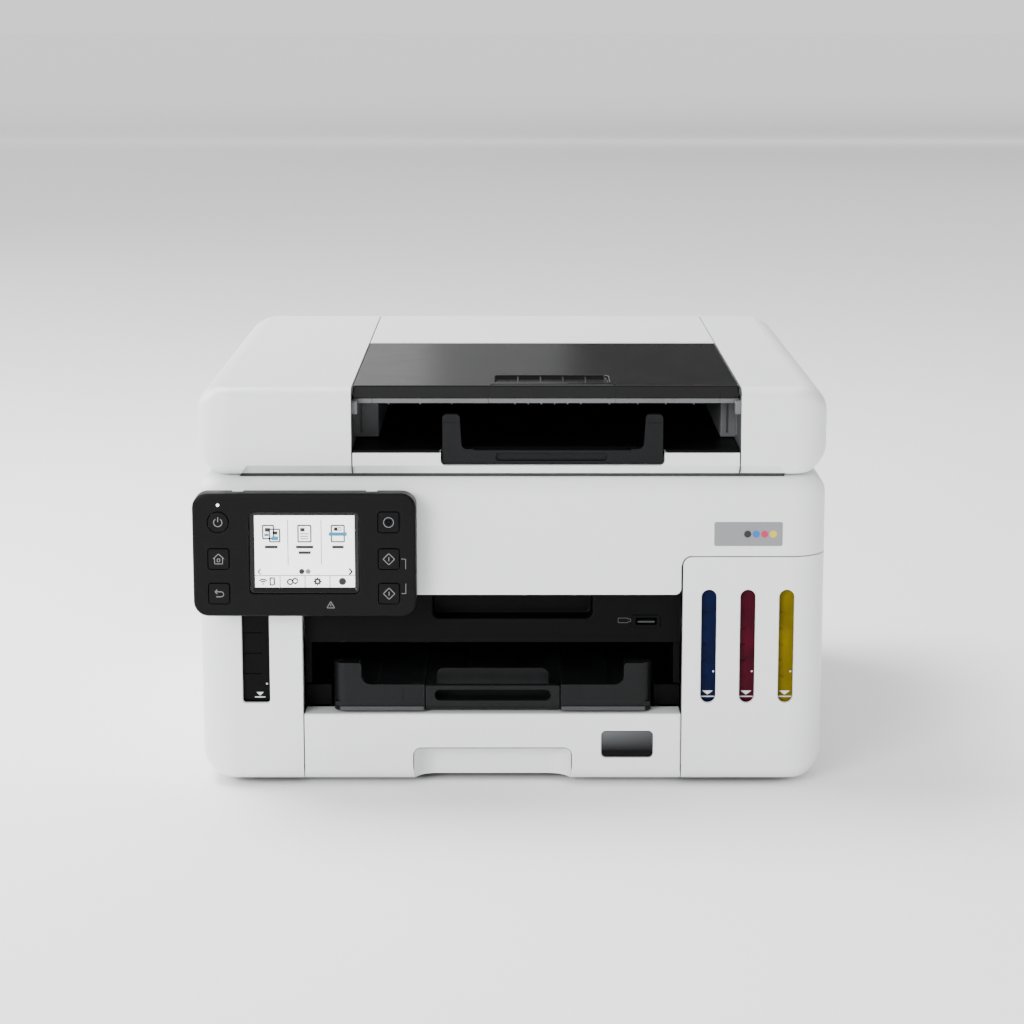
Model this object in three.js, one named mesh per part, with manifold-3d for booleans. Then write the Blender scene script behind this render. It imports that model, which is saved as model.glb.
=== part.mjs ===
// Desktop inkjet multifunction printer: refillable ink tanks, a paper cassette, a flatbed scanner
// and a document feeder in the lid. Units are millimetres, +Z is up and the user stands at -Y.
// Inside the group called printer, y = 0 is the front face of the casing and y grows to the rear.
import * as THREE from 'three';
import { mergeVertices } from 'three/addons/utils/BufferGeometryUtils.js';
import Module from 'manifold-3d';

const wasm = await Module();
wasm.setup();

// ---------------------------------------------------------------- driving dimensions
const halfWidth = 200;
const casingDepth = 403;
const panelStandOut = 20; // the panel's buttons stand this far in front of the casing
const bottomZ = 4.6; // underside of the casing, above the feet
const seamZ = 151.4; // joint between the lower casing and the scanner unit
const scannerTopZ = 202.5;
const lidBottomZ = 204;
const topZ = 259;

const planRadius = 24; // vertical corners of the casing
const bottomRadius = 16; // lower corners seen from the front, on the casing and on the lid
const lidTopRadius = 17; // upper corners of the lid seen from the front
const bodyTopRadius = 12; // upper corners of the scanner unit seen from the front
const edgeRadius = 7; // all other long edges
const wall = 2.8; // thickness of the outer shells
const gap = 0.4; // clearance between two pieces that touch
const seam = 0.8; // visible joint line between two covers

// The front opening, which the paper path runs through
const bayLeft = -133.5;
const bayRight = 108.5;
const bayCentre = (bayLeft + bayRight) / 2;
const skirtBottomZ = 126.6; // lower edge of the scanner unit's front
const cassetteTopZ = 48.6;
const cassetteFrontDepth = 19;

// The document feeder in the lid
const feederLeft = -101.2;
const feederRight = 144.2;
const feederCentre = 25.3;

// Hinge lines, all along X
const scannerAxis = { y: casingDepth - 4, z: seamZ + 4 };
const lidAxis = { y: casingDepth - 8, z: lidBottomZ + 9 };
const panelAxis = { y: -8, z: 190 };
const documentTrayAxis = { y: 226, z: 256.5 };
const feederCoverAxis = { y: 397.5, z: 253.5 };
const pickupAxis = { y: 262, z: 66 };

// ---------------------------------------------------------------- finishes
const finish = (color, roughness, metalness = 0) =>
  new THREE.MeshStandardMaterial({ color, roughness, metalness });

const whiteShell = finish(0xe6e7e8, 0.45);
const blackShell = finish(0x161617, 0.5);
const greyPlastic = finish(0x3a3b3d, 0.45);
const smokedPanel = finish(0x4a4c4e, 0.2);
const steel = finish(0xb4b7ba, 0.35, 0.9);
const rubber = finish(0x1b1b1c, 0.85);
const glass = finish(0xbfd0d2, 0.05);
const screenFace = finish(0xf0f2f3, 0.15);
const circuitBoard = finish(0x1f5a37, 0.6);
const foam = finish(0xf4f4f2, 0.8);
const inkBlack = finish(0x0c0c0e, 0.3);
const inkCyan = finish(0x0c3f92, 0.3);
const inkMagenta = finish(0x8a0d3d, 0.3);
const inkYellow = finish(0xc9a90c, 0.3);

// ---------------------------------------------------------------- shapes as manifold solids
function toSolid(geometry) {
  const loose = geometry.index ? geometry.toNonIndexed() : geometry;
  loose.deleteAttribute('normal');
  loose.deleteAttribute('uv');
  const merged = mergeVertices(loose, 1e-3);
  return new wasm.Manifold(
    new wasm.Mesh({
      numProp: 3,
      vertProperties: merged.attributes.position.array,
      triVerts: new Uint32Array(merged.index.array),
    })
  );
}

function toGeometry(solid) {
  const mesh = solid.getMesh();
  const geometry = new THREE.BufferGeometry();
  geometry.setAttribute('position', new THREE.BufferAttribute(mesh.vertProperties, 3));
  geometry.setIndex(new THREE.BufferAttribute(mesh.triVerts, 1));
  geometry.computeVertexNormals();
  return geometry;
}

function box(x0, x1, y0, y1, z0, z1) {
  const geometry = new THREE.BoxGeometry(x1 - x0, y1 - y0, z1 - z0);
  return toSolid(geometry.translate((x0 + x1) / 2, (y0 + y1) / 2, (z0 + z1) / 2));
}

const join = (first, ...others) => others.reduce((solid, other) => solid.add(other), first);
const cut = (first, ...others) => others.reduce((solid, other) => solid.subtract(other), first);

// A rod along X through (y, z)
function rodX(radius, x0, x1, y, z, sides = 16) {
  const geometry = new THREE.CylinderGeometry(radius, radius, x1 - x0, sides);
  return toSolid(geometry.rotateZ(Math.PI / 2).translate((x0 + x1) / 2, y, z));
}

// A rod along Y through (x, z)
function rodY(radius, y0, y1, x, z, sides = 24) {
  const geometry = new THREE.CylinderGeometry(radius, radius, y1 - y0, sides);
  return toSolid(geometry.translate(x, (y0 + y1) / 2, z));
}

// An upright cylinder or cone
function rodZ(radiusTop, radiusBottom, z0, z1, x, y, sides = 20) {
  const geometry = new THREE.CylinderGeometry(radiusTop, radiusBottom, z1 - z0, sides);
  return toSolid(geometry.rotateX(Math.PI / 2).translate(x, y, (z0 + z1) / 2));
}

function roundedRectangle(u0, u1, v0, v1, lowerRadius, upperRadius = lowerRadius) {
  const limit = Math.min((u1 - u0) / 2, (v1 - v0) / 2) - 0.01;
  const low = Math.min(lowerRadius, limit);
  const high = Math.min(upperRadius, limit);
  const shape = new THREE.Shape();
  shape.moveTo(u0 + low, v0);
  shape.lineTo(u1 - low, v0);
  shape.absarc(u1 - low, v0 + low, low, -Math.PI / 2, 0);
  shape.lineTo(u1, v1 - high);
  shape.absarc(u1 - high, v1 - high, high, 0, Math.PI / 2);
  shape.lineTo(u0 + high, v1);
  shape.absarc(u0 + high, v1 - high, high, Math.PI / 2, Math.PI);
  shape.lineTo(u0, v0 + low);
  shape.absarc(u0 + low, v0 + low, low, Math.PI, Math.PI * 1.5);
  return shape;
}

function outline(points) {
  return new THREE.Shape(points.map(([u, v]) => new THREE.Vector2(u, v)));
}

// A shape drawn in XY, extruded upwards
function slabZ(shape, z0, z1, curveSegments = 5) {
  const options = { depth: z1 - z0, bevelEnabled: false, curveSegments };
  return toSolid(new THREE.ExtrudeGeometry(shape, options).translate(0, 0, z0));
}

// A shape drawn in YZ, extruded along X
function slabX(shape, x0, x1, curveSegments = 5) {
  const geometry = new THREE.ExtrudeGeometry(shape, { depth: x1 - x0, bevelEnabled: false, curveSegments });
  const turn = new THREE.Matrix4().makeBasis(
    new THREE.Vector3(0, 1, 0), new THREE.Vector3(0, 0, 1), new THREE.Vector3(1, 0, 0));
  return toSolid(geometry.applyMatrix4(turn).translate(x0, 0, 0));
}

// A shape drawn in XZ, extruded along Y
function slabY(shape, y0, y1, curveSegments = 5) {
  const geometry = new THREE.ExtrudeGeometry(shape, { depth: y1 - y0, bevelEnabled: false, curveSegments });
  const turn = new THREE.Matrix4().makeBasis(
    new THREE.Vector3(1, 0, 0), new THREE.Vector3(0, 0, 1), new THREE.Vector3(0, -1, 0));
  return toSolid(geometry.applyMatrix4(turn).translate(0, y1, 0));
}

// The casing's or the lid's outer form, or the form at a constant distance inside it
function envelope(inset, z0, z1, topRadius) {
  const round = edgeRadius - inset;
  const plan = roundedRectangle(
    -halfWidth + edgeRadius, halfWidth - edgeRadius, edgeRadius, casingDepth - edgeRadius,
    planRadius - edgeRadius);
  const geometry = new THREE.ExtrudeGeometry(plan, {
    depth: z1 - z0 - 2 * round,
    bevelThickness: round,
    bevelSize: round,
    bevelSegments: 2,
    curveSegments: 3,
  });
  const pillow = toSolid(geometry.translate(0, 0, z0 + round));
  const front = slabY(
    roundedRectangle(-halfWidth + inset, halfWidth - inset, z0, z1, bottomRadius - inset, topRadius - inset),
    -1, casingDepth + 1, 4);
  return pillow.intersect(front);
}

// The flat area of the underside, inside the rounded edges, at a distance from the outer form
function underside(inset, z0, z1) {
  const x = halfWidth - bottomRadius - inset;
  const y = edgeRadius + inset;
  return slabZ(roundedRectangle(-x, x, y, casingDepth - y, planRadius - edgeRadius), z0, z1);
}

function piece(group, name, solid, material, position = [0, 0, 0]) {
  const mesh = new THREE.Mesh(toGeometry(solid), material);
  mesh.name = name;
  mesh.position.set(...position);
  group.add(mesh);
  return mesh;
}

function subgroup(parent, x = 0, y = 0, z = 0) {
  const group = new THREE.Group();
  group.position.set(x, y, z);
  parent.add(group);
  return group;
}

const root = new THREE.Group();
// The bounding box reaches from the control panel's face to the rear of the casing
const printer = subgroup(root, 0, -(casingDepth - panelStandOut) / 2);

// ---------------------------------------------------------------- lower casing
const casing = envelope(0, bottomZ, scannerTopZ, bodyTopRadius);
const casingHollow = join(
  envelope(wall, bottomZ + wall, scannerTopZ - wall, bodyTopRadius),
  underside(wall, bottomZ - 5, bottomZ + 20));
const casingShell = cut(casing, casingHollow);
const lowerTopZ = seamZ - seam / 2;
// Above the rear edge the scanner unit swings, so the lower casing stays below it there
const rearEdgeZ = seamZ - 2.2;
const swingClearance = box(
  -halfWidth - 1, halfWidth + 1, casingDepth - 12, casingDepth + 1, rearEdgeZ, seamZ);

const inkWindowTopZ = 129.8;
const inkWindowBottomZ = 55.9;
const colourTankX = [125.3, 150, 174.7];
const colourWindowWidth = 9.6;
const blackTankX = -163.4;
const blackWindowWidth = 17.4;

function inkWindow(x, width, radius) {
  const shape = roundedRectangle(x - width / 2, x + width / 2, inkWindowBottomZ, inkWindowTopZ, radius);
  return slabY(shape, -1, wall + 2);
}

const powerInlet = { x0: -176, x1: -152, z0: 20, z1: 36 };
const networkPort = { x0: -184, x1: -168, z0: 100, z1: 114 };
const computerPort = { x0: -184, x1: -171, z0: 78, z1: 90 };
const rearHole = ({ x0, x1, z0, z1 }, grow = 1) =>
  box(x0 - grow, x1 + grow, casingDepth - 10, casingDepth + 1, z0 - grow, z1 + grow);

function leftCover() {
  const side = casingShell.intersect(
    box(-halfWidth - 1, bayLeft - gap / 2, -1, casingDepth + 1, 0, lowerTopZ));
  return cut(side, swingClearance, inkWindow(blackTankX, blackWindowWidth, 2),
    rearHole(powerInlet), rearHole(networkPort), rearHole(computerPort));
}

const cartridgeBay = { x0: 122, x1: 188, z0: 14, z1: 52 };

function rightCover() {
  const side = casingShell.intersect(
    box(bayRight + gap / 2, halfWidth + 1, -1, casingDepth + 1, 0, lowerTopZ));
  const windows = colourTankX.map((x) => inkWindow(x, colourWindowWidth, colourWindowWidth / 2));
  return cut(side, swingClearance, ...windows, rearHole(cartridgeBay, gap));
}

piece(printer, 'left_cover', leftCover(), whiteShell);
piece(printer, 'right_cover', rightCover(), whiteShell);

const baseTopZ = bottomZ + 3.2;
const cassetteRail = (x) => box(x - 1.5, x + 1.5, 30, 380, baseTopZ - 1, baseTopZ + 0.8);

piece(printer, 'base_plate',
  join(
    cut(underside(wall + gap, bottomZ, baseTopZ), box(bayLeft - 1, bayRight + 1, -1, 21.5, 0, 20)),
    cassetteRail(-90), cassetteRail(65)),
  blackShell);

// Side frames of the mechanism, with the bearings of the rollers and the scanner unit's hinge pins
const frameThickness = 2.7;
const leftFrameX = bayLeft - 0.8 - frameThickness;
const rightFrameX = bayRight + 0.8;
const feedRoller = { y: 250, z: 80, radius: 7, shaft: 4 };
const ejectRoller = { y: 172, z: 77, radius: 4.5, shaft: 3 };
const pickupShaftRadius = 3;
const bearingPlay = 0.5;
const hingePinRadius = 3;
const hingePinReach = 6;

function sideFrame(x0) {
  const x1 = x0 + frameThickness;
  // Rear post, arch over the rollers, and the wall beside the ink tanks
  const { y, z } = scannerAxis;
  const rearTop = [
    [y - 3, z - 7], [y + 3, z - 4], [y + 3, z + 4], [y - 2, z + 6], [y - 9, z + 4], [y - 13, z - 8]];
  const profile = outline([
    [24, 8.3], [y - 3, 8.3], ...rearTop, [256, z - 8], [256, 86.5], [138, 86.5],
    [138, 132], [17, 132], [17, 52], [24, 52]]);
  const pickupShaft = { ...pickupAxis, shaft: pickupShaftRadius };
  const bearings = [feedRoller, ejectRoller, pickupShaft].map((roller) =>
    rodX(roller.shaft + bearingPlay, x0 - 1, x1 + 1, roller.y, roller.z));
  const pin = rodX(hingePinRadius, x0 - hingePinReach, x1 + hingePinReach, y, z);
  return join(cut(slabX(profile, x0, x1), ...bearings), pin);
}

piece(printer, 'left_frame', sideFrame(leftFrameX), steel);
piece(printer, 'right_frame', sideFrame(rightFrameX), steel);

// Black fascia over the paper exit, with the finger recess and the memory-stick socket
const fasciaY = 12;
const fascia = { bottom: 93, top: 149, thickness: 3 };
const fingerRecess = { x0: -50.6, x1: 51.4, bottom: 108.9, top: 133, depth: 13 };
const stickPort = { x: 86, z: 107.9, width: 14.4, height: 6.4, depth: 15 };

function frontFascia() {
  const x0 = bayLeft + gap;
  const x1 = bayRight - gap;
  const plate = box(x0, x1, fasciaY, fasciaY + fascia.thickness, fascia.bottom, fascia.top);
  const rim = 2;
  const recessBox = box(fingerRecess.x0 - rim, fingerRecess.x1 + rim,
    fasciaY, fasciaY + fingerRecess.depth + rim, fingerRecess.bottom - rim, fingerRecess.top + rim);
  const recess = slabY(
    roundedRectangle(fingerRecess.x0, fingerRecess.x1, fingerRecess.bottom, fingerRecess.top, 4),
    fasciaY - 1, fasciaY + fingerRecess.depth);
  const { x, z, width, height, depth } = stickPort;
  const portForm = (grow, y0, y1) => box(x - width / 2 - grow, x + width / 2 + grow, y0, y1,
    z - height / 2 - grow, z + height / 2 + grow);
  return cut(
    join(plate, recessBox, portForm(rim, fasciaY, fasciaY + depth + rim)),
    recess, portForm(0, fasciaY - 1, fasciaY + depth));
}

piece(printer, 'front_fascia', frontFascia(), blackShell);

// Platen under the print head, with the two rails that the output tray slides between
const trayRailWidth = 16.5;

function printPlaten() {
  const x0 = bayLeft + gap;
  const x1 = bayRight - gap;
  const bed = outline([[180, 70], [240, 66], [240, 83], [236, 84.5], [184, 84.5], [180, 82]]);
  const platen = slabX(bed, x0, x1);
  const railBottomZ = 49.6;
  const railRear = 181;
  const rail = (from, to) => box(from, to, 20, railRear, railBottomZ, 63);
  const upright = (from, to) => box(from, to, railRear - 12, 200, railBottomZ, 75);
  return join(platen,
    rail(x0, x0 + trayRailWidth), rail(x1 - trayRailWidth, x1),
    upright(x0, x0 + 6), upright(x1 - 6, x1));
}

piece(printer, 'print_platen', cut(printPlaten(),
  rodX(ejectRoller.radius + 1.5, bayLeft, bayRight, ejectRoller.y, ejectRoller.z)), blackShell);

// Guide rod, toothed belt and motor that carry the print head across
const guideRod = { y: 215, z: 118, radius: 4 };
const belt = { x0: -186, x1: 186, y: 244, width: 6, z: 138, radius: 6, thickness: 1.2 };

piece(printer, 'guide_rod',
  rodX(guideRod.radius, -halfWidth + wall + gap, halfWidth - wall - gap, guideRod.y, guideRod.z), steel);

function carriageBelt() {
  const loop = (grow, y0, y1) => slabY(roundedRectangle(belt.x0 - grow, belt.x1 + grow,
    belt.z - belt.radius - grow, belt.z + belt.radius + grow, belt.radius + grow), y0, y1, 6);
  const { y, width } = belt;
  return cut(loop(belt.thickness, y, y + width), loop(0, y - 1, y + width + 1));
}

piece(printer, 'carriage_belt', carriageBelt(), rubber);
const motor = { radius: 13, length: 34, pulley: 5.2 };
piece(printer, 'carriage_motor',
  join(rodY(motor.radius, 0, motor.length, 0, 0, 28), rodY(motor.pulley, -12, 0.5, 0, 0, 20)),
  steel, [belt.x0 + belt.radius, belt.y + 10, belt.z]);

// Ink tanks, which show through the windows of the side covers
const tank = { front: 5, rear: 128, bottom: 40, top: 133 };
const capLength = 14;
const capAxis = { y: 83, z: 136.5 };
const capPinRadius = 1.1;
const capWidth = 17;
const capLug = { inner: 9.2, outer: 10.8 };
const spout = { radius: 5.5, y: 75 };

function inkTank(width) {
  const plan = roundedRectangle(-width / 2, width / 2, tank.front, tank.rear, 3);
  const body = slabZ(plan, tank.bottom, tank.top, 2);
  const neck = rodZ(spout.radius, spout.radius, tank.top - 1, tank.top + 1.6, 0, spout.y, 16);
  const lug = (from, to) => box(from, to, capAxis.y - 2.4, capAxis.y + 2.4, tank.top - 1, capAxis.z + 2.2);
  const hole = rodX(capPinRadius + bearingPlay, -12, 12, capAxis.y, capAxis.z, 12);
  const lugs = join(lug(-capLug.outer, -capLug.inner), lug(capLug.inner, capLug.outer));
  return join(body, neck, cut(lugs, hole));
}

const colourInks = [['cyan', inkCyan], ['magenta', inkMagenta], ['yellow', inkYellow]];
const tanks = [
  { ink: 'black', x: blackTankX, width: 45, material: inkBlack },
  ...colourInks.map(([ink, material], i) => ({ ink, x: colourTankX[i], width: 22, material })),
];

function tankCap() {
  const half = capWidth / 2;
  const reach = capLug.outer - 0.2;
  const plate = slabZ(roundedRectangle(-half, half, -capLength, 1.5, 2), -1.3, 2.2, 2);
  return join(plate, rodX(2, -half, half, 0, 0, 12), rodX(capPinRadius, -reach, reach, 0, 0, 12));
}

for (const { ink, x, width, material } of tanks) {
  piece(printer, `ink_tank_${ink}`, inkTank(width), material, [x, 0, 0]);
  piece(printer, `tank_cap_${ink}`, tankCap(), greyPlastic, [x, capAxis.y, capAxis.z]);
}

// Main board with its two sockets, and the power supply with its inlet, both at the rear left
const boardX = -187;
const inletWall = 2.4;

function socketBox({ x0, x1, z0, z1 }, depth, wallThickness) {
  const rear = casingDepth - 1;
  const outside = box(x0, x1, rear - depth, rear, z0, z1);
  const t = wallThickness;
  return cut(outside, box(x0 + t, x1 - t, rear - depth + 3, rear + 1, z0 + t, z1 - t));
}

piece(printer, 'main_board',
  join(
    box(boardX, boardX + 1.6, 296, casingDepth - 8, 50, 142),
    box(boardX + 1, networkPort.x0 + 1, casingDepth - 22, casingDepth - 9, computerPort.z0, networkPort.z1),
    socketBox(networkPort, 20, 1.6), socketBox(computerPort, 18, 1.6)),
  circuitBoard);
piece(printer, 'power_supply',
  cut(
    join(box(-184, -142, 280, casingDepth - 6, 10, 44), socketBox(powerInlet, 18, inletWall)),
    box(powerInlet.x0 + inletWall, powerInlet.x1 - inletWall, casingDepth - 16, casingDepth,
      powerInlet.z0 + inletWall, powerInlet.z1 - inletWall)),
  greyPlastic);

const footRadius = 10;
const footPlaces = [['front_left', -160, 45], ['front_right', 160, 45],
  ['rear_left', -160, 360], ['rear_right', 160, 360]];
for (const [place, x, y] of footPlaces) {
  const foot = rodZ(footRadius, footRadius - 1, 0, bottomZ - 0.3, 0, 0, 24);
  piece(printer, `foot_${place}`, foot, rubber, [x, y, 0]);
}

// ---------------------------------------------------------------- rear: cover and waste-ink cartridge
function rearCover() {
  const plate = casingShell.intersect(
    box(bayLeft + gap, bayRight - gap, casingDepth - 12, casingDepth + 1, 21, rearEdgeZ - gap));
  const gripHalf = 16;
  const gripDepth = 1.4;
  const grip = (x) => box(x - gripHalf, x + gripHalf, casingDepth - gripDepth, casingDepth + 1, 128, 140);
  return cut(plate, grip(bayCentre - 60), grip(bayCentre + 60));
}

piece(printer, 'rear_cover', rearCover(), blackShell);
const cartridgeLength = 96;
piece(printer, 'maintenance_cartridge',
  join(
    box(cartridgeBay.x0 + 1, cartridgeBay.x1 - 1, casingDepth - cartridgeLength, casingDepth - 1,
      cartridgeBay.z0 + 1, cartridgeBay.z1 - 1),
    box(145, 165, casingDepth - 1.5, casingDepth - 0.2, 30, 36)),
  greyPlastic);

// ---------------------------------------------------------------- rollers and print head
// A shaft along X with drums on it and, where it is driven, a gear outside the right frame
function rollerShaft({ radius, shaft }, x0, x1, drums, gearRadius, sides = 16) {
  const solids = [rodX(shaft, x0, x1, 0, 0, sides)];
  for (const [from, to] of drums) solids.push(rodX(radius, from, to, 0, 0, sides));
  if (gearRadius) solids.push(rodX(gearRadius, x1 - 6, x1 - 1, 0, 0, 24));
  return join(...solids);
}

const shaftLeft = leftFrameX - 3;
const gearEnd = rightFrameX + frameThickness + 8;
piece(printer, 'feed_roller',
  rollerShaft(feedRoller, shaftLeft, gearEnd, [[bayLeft + 6, bayRight - 6]], 14),
  rubber, [0, feedRoller.y, feedRoller.z]);
const starWheelDrums = [-110, -70, -30, 5, 45, 85].map((x) => [x - 5, x + 5]);
piece(printer, 'eject_roller',
  rollerShaft(ejectRoller, shaftLeft, gearEnd, starWheelDrums, 9, 12),
  rubber, [0, ejectRoller.y, ejectRoller.z]);

const pickupRoller = { dy: 36, dz: -2, radius: 9, axle: 2, armHalf: 12 };

function pickupArm() {
  const { dy, dz, axle, armHalf } = pickupRoller;
  const shaft = rodX(pickupShaftRadius, leftFrameX - 2, rightFrameX + frameThickness + 2, 0, 0);
  const cheek = (x) => slabX(roundedRectangle(-6, dy + 5, -6, 5, 5), x - 1.2, x + 1.2, 3);
  const pin = rodX(axle, bayCentre - armHalf, bayCentre + armHalf, dy, dz, 12);
  return join(shaft, cheek(bayCentre - armHalf), cheek(bayCentre + armHalf), pin);
}

piece(printer, 'pickup_arm', pickupArm(), greyPlastic, [0, pickupAxis.y, pickupAxis.z]);
piece(printer, 'pickup_roller',
  cut(rodX(pickupRoller.radius, -9, 9, 0, 0, 24), rodX(pickupRoller.axle + bearingPlay, -10, 10, 0, 0, 12)),
  rubber, [bayCentre, pickupAxis.y + pickupRoller.dy, pickupAxis.z + pickupRoller.dz]);

function printCarriage() {
  const width = 70;
  const profile = outline([[150, 93], [170, 88], [214, 88], [224, 98], [243, 128], [243, 143], [236, 148],
    [158, 148], [150, 140]]);
  const body = slabX(profile, -width / 2, width / 2);
  const rodHole = rodX(guideRod.radius + bearingPlay, -width, width, guideRod.y, guideRod.z);
  return cut(body, rodHole);
}

const carriageParkX = 148;
piece(printer, 'print_carriage', printCarriage(), blackShell, [carriageParkX, 0, 0]);

// ---------------------------------------------------------------- paper cassette
const cassette = subgroup(printer, bayCentre);
const cassetteHalf = (bayRight - bayLeft) / 2 - gap;
const bin = {
  half: cassetteHalf - 2, front: cassetteFrontDepth + gap, rear: 345,
  bottom: 9, top: 46, wall: 2, floor: 2.4,
};
const gripNotch = { half: 50.4, topZ: 25.8, depth: 17 };
const levelWindow = { x0: 69.7, x1: 103, z0: 19.6, z1: 37.3, depth: 3 };

function windowOutline(inset) {
  const { x0, x1, z0, z1 } = levelWindow;
  return roundedRectangle(x0 + inset, x1 - inset, z0 + inset, z1 - inset, 3 - inset);
}

function cassetteFront() {
  const block = casing.translate(-bayCentre, 0, 0).intersect(
    box(-cassetteHalf, cassetteHalf, -1, cassetteFrontDepth, 0, cassetteTopZ));
  const { half, topZ: notchTopZ, depth } = gripNotch;
  const notch = slabY(roundedRectangle(-half, half, -20, notchTopZ, 3), -1, depth, 3);
  const window = slabY(windowOutline(0), -1, levelWindow.depth, 3);
  const pocket = (from, to) =>
    box(from, to, levelWindow.depth + 2, cassetteFrontDepth + 1, bottomZ + 6, cassetteTopZ - 3);
  return cut(block, notch, window,
    pocket(-cassetteHalf + 3, -half - 3), pocket(half + 3, cassetteHalf - 3));
}

function cassetteBin() {
  const { half, front, rear, bottom, top } = bin;
  const side = half - bin.wall;
  const inside = box(-side, side, front + bin.wall, rear - bin.wall, bottom + bin.floor, top + 1);
  const lowRear = box(-half + 30, half - 30, rear - 10, rear + 1, top - 16, top + 1);
  return cut(box(-half, half, front, rear, bottom, top), inside, lowRear);
}

piece(cassette, 'cassette_front', cassetteFront(), whiteShell);
piece(cassette, 'cassette_bin', cassetteBin(), greyPlastic);
piece(cassette, 'cassette_window',
  slabY(windowOutline(gap), 0.8, levelWindow.depth - 0.3, 3),
  smokedPanel);

// Paper guides: a thin upright wall on a foot that slides over the bin's floor
const guideFloorZ = bin.bottom + bin.floor + gap;
const guideHeight = 29;
const paperHalf = 108;
const sideGuide = () => join(
  box(0, 2, -35, 35, 0, guideHeight),
  box(-30, 2, -12, 12, 0, 2));

piece(cassette, 'paper_guide_right', sideGuide(), greyPlastic, [paperHalf, 155, guideFloorZ]);
piece(cassette, 'paper_guide_left',
  sideGuide().rotate([0, 0, 180]), greyPlastic, [-paperHalf, 155, guideFloorZ]);
const paperLength = 297;
piece(cassette, 'paper_guide_rear',
  join(box(-26, 26, 0, 2, 0, guideHeight), box(-12, 12, -30, 2, 0, 2)),
  greyPlastic, [0, bin.front + bin.wall + paperLength + 1, guideFloorZ]);

// ---------------------------------------------------------------- output tray and its extension
const tray = subgroup(printer, bayCentre + 0.1);
const trayHalf = 101.8;
const trayFront = 3;
const trayBottomZ = 50;
const trayFloorZ = 53.5;
const lowWallTopZ = 67.2;
const postTopZ = 81.3;
const postWidth = 17.8;
const extensionHalf = 43;

function outputTray() {
  const plan = roundedRectangle(-trayHalf, trayHalf, trayFront, trayFront + 30, 8);
  const floor = box(-trayHalf + 1, trayHalf - 1, trayFront, 178, trayFloorZ, trayFloorZ + 2.5);
  const upright = (from, to, height) => slabZ(plan, trayBottomZ, height, 4).intersect(
    box(from, to, trayFront, trayFront + 12, 0, 100));
  const frontWall = upright(-trayHalf, trayHalf, lowWallTopZ);
  const hollow = box(
    -trayHalf + postWidth, trayHalf - postWidth, trayFront + wall, 60, trayFloorZ + 2.5, 100);
  const leftPost = upright(-trayHalf, -trayHalf + postWidth, postTopZ);
  const rightPost = upright(trayHalf - postWidth, trayHalf, postTopZ);
  const room = extensionHalf + 0.6;
  const notch = box(-room, room, trayFront - 1, trayFront + 6, 0, 100);
  const slot = box(-room, room, trayFront - 1, 200, 0, trayFloorZ - 0.1);
  return cut(join(floor, cut(frontWall, hollow), leftPost, rightPost), notch, slot);
}

function outputExtension() {
  const plate = box(
    -extensionHalf + 4, extensionHalf - 4, trayFront + 2, 150, trayBottomZ, trayBottomZ + 2.8);
  const face = box(
    -extensionHalf, extensionHalf, trayFront - 0.5, trayFront + 4.5, trayBottomZ, lowWallTopZ - gap);
  const grip = slabY(roundedRectangle(-37.2, 37.2, 56.8, 64, 3.5), trayFront - 2, trayFront + 8, 3);
  return cut(join(plate, face), grip);
}

piece(tray, 'output_tray', outputTray(), greyPlastic);
piece(tray, 'output_extension', outputExtension(), greyPlastic);

// ---------------------------------------------------------------- scanner unit
const scanner = subgroup(printer);
const housingBottomZ = seamZ + seam / 2;
const glassArea = { x0: feederCentre - 113, x1: feederCentre + 113, y0: 46, y1: 380 };
const skirt = { x0: bayLeft + 1, x1: bayRight - 1 };
const lidHinges = [-164, 164];
const lidPostHalf = 10;
const lidPinRadius = 2.5;
const earThickness = 4;
const earPlay = 2;
const hingeNotch = (x) =>
  box(x - 2.2, x + frameThickness + 2.2, 382, casingDepth + 1, seamZ - 5, scannerAxis.z + 12);

function hingeEar(x, width) {
  const plate = box(x, x + width, 380, casingDepth - 2, housingBottomZ, scannerAxis.z + 8);
  return cut(plate, rodX(hingePinRadius + bearingPlay, x - 1, x + width + 1, scannerAxis.y, scannerAxis.z));
}

function lidPost(x) {
  const { y, z } = lidAxis;
  const post = box(x - lidPostHalf, x + lidPostHalf, y - 4.5, y + 4.5, scannerTopZ - 4, z);
  const barrel = rodX(4.5, x - lidPostHalf, x + lidPostHalf, y, z);
  const pin = rodX(lidPinRadius, x - lidPostHalf - 4, x + lidPostHalf + 4, y, z, 12);
  return join(post, barrel, pin);
}

function panelLug(x) {
  const arm = box(x - 3, x + 3, panelAxis.y, wall, panelAxis.z - 3, panelAxis.z + 3);
  return join(arm, rodX(3, x - 3, x + 3, panelAxis.y, panelAxis.z, 12));
}

const panelLugX = [-172, -88];

const scanBar = { y: 368, z: 184, half: 120 };

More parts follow.
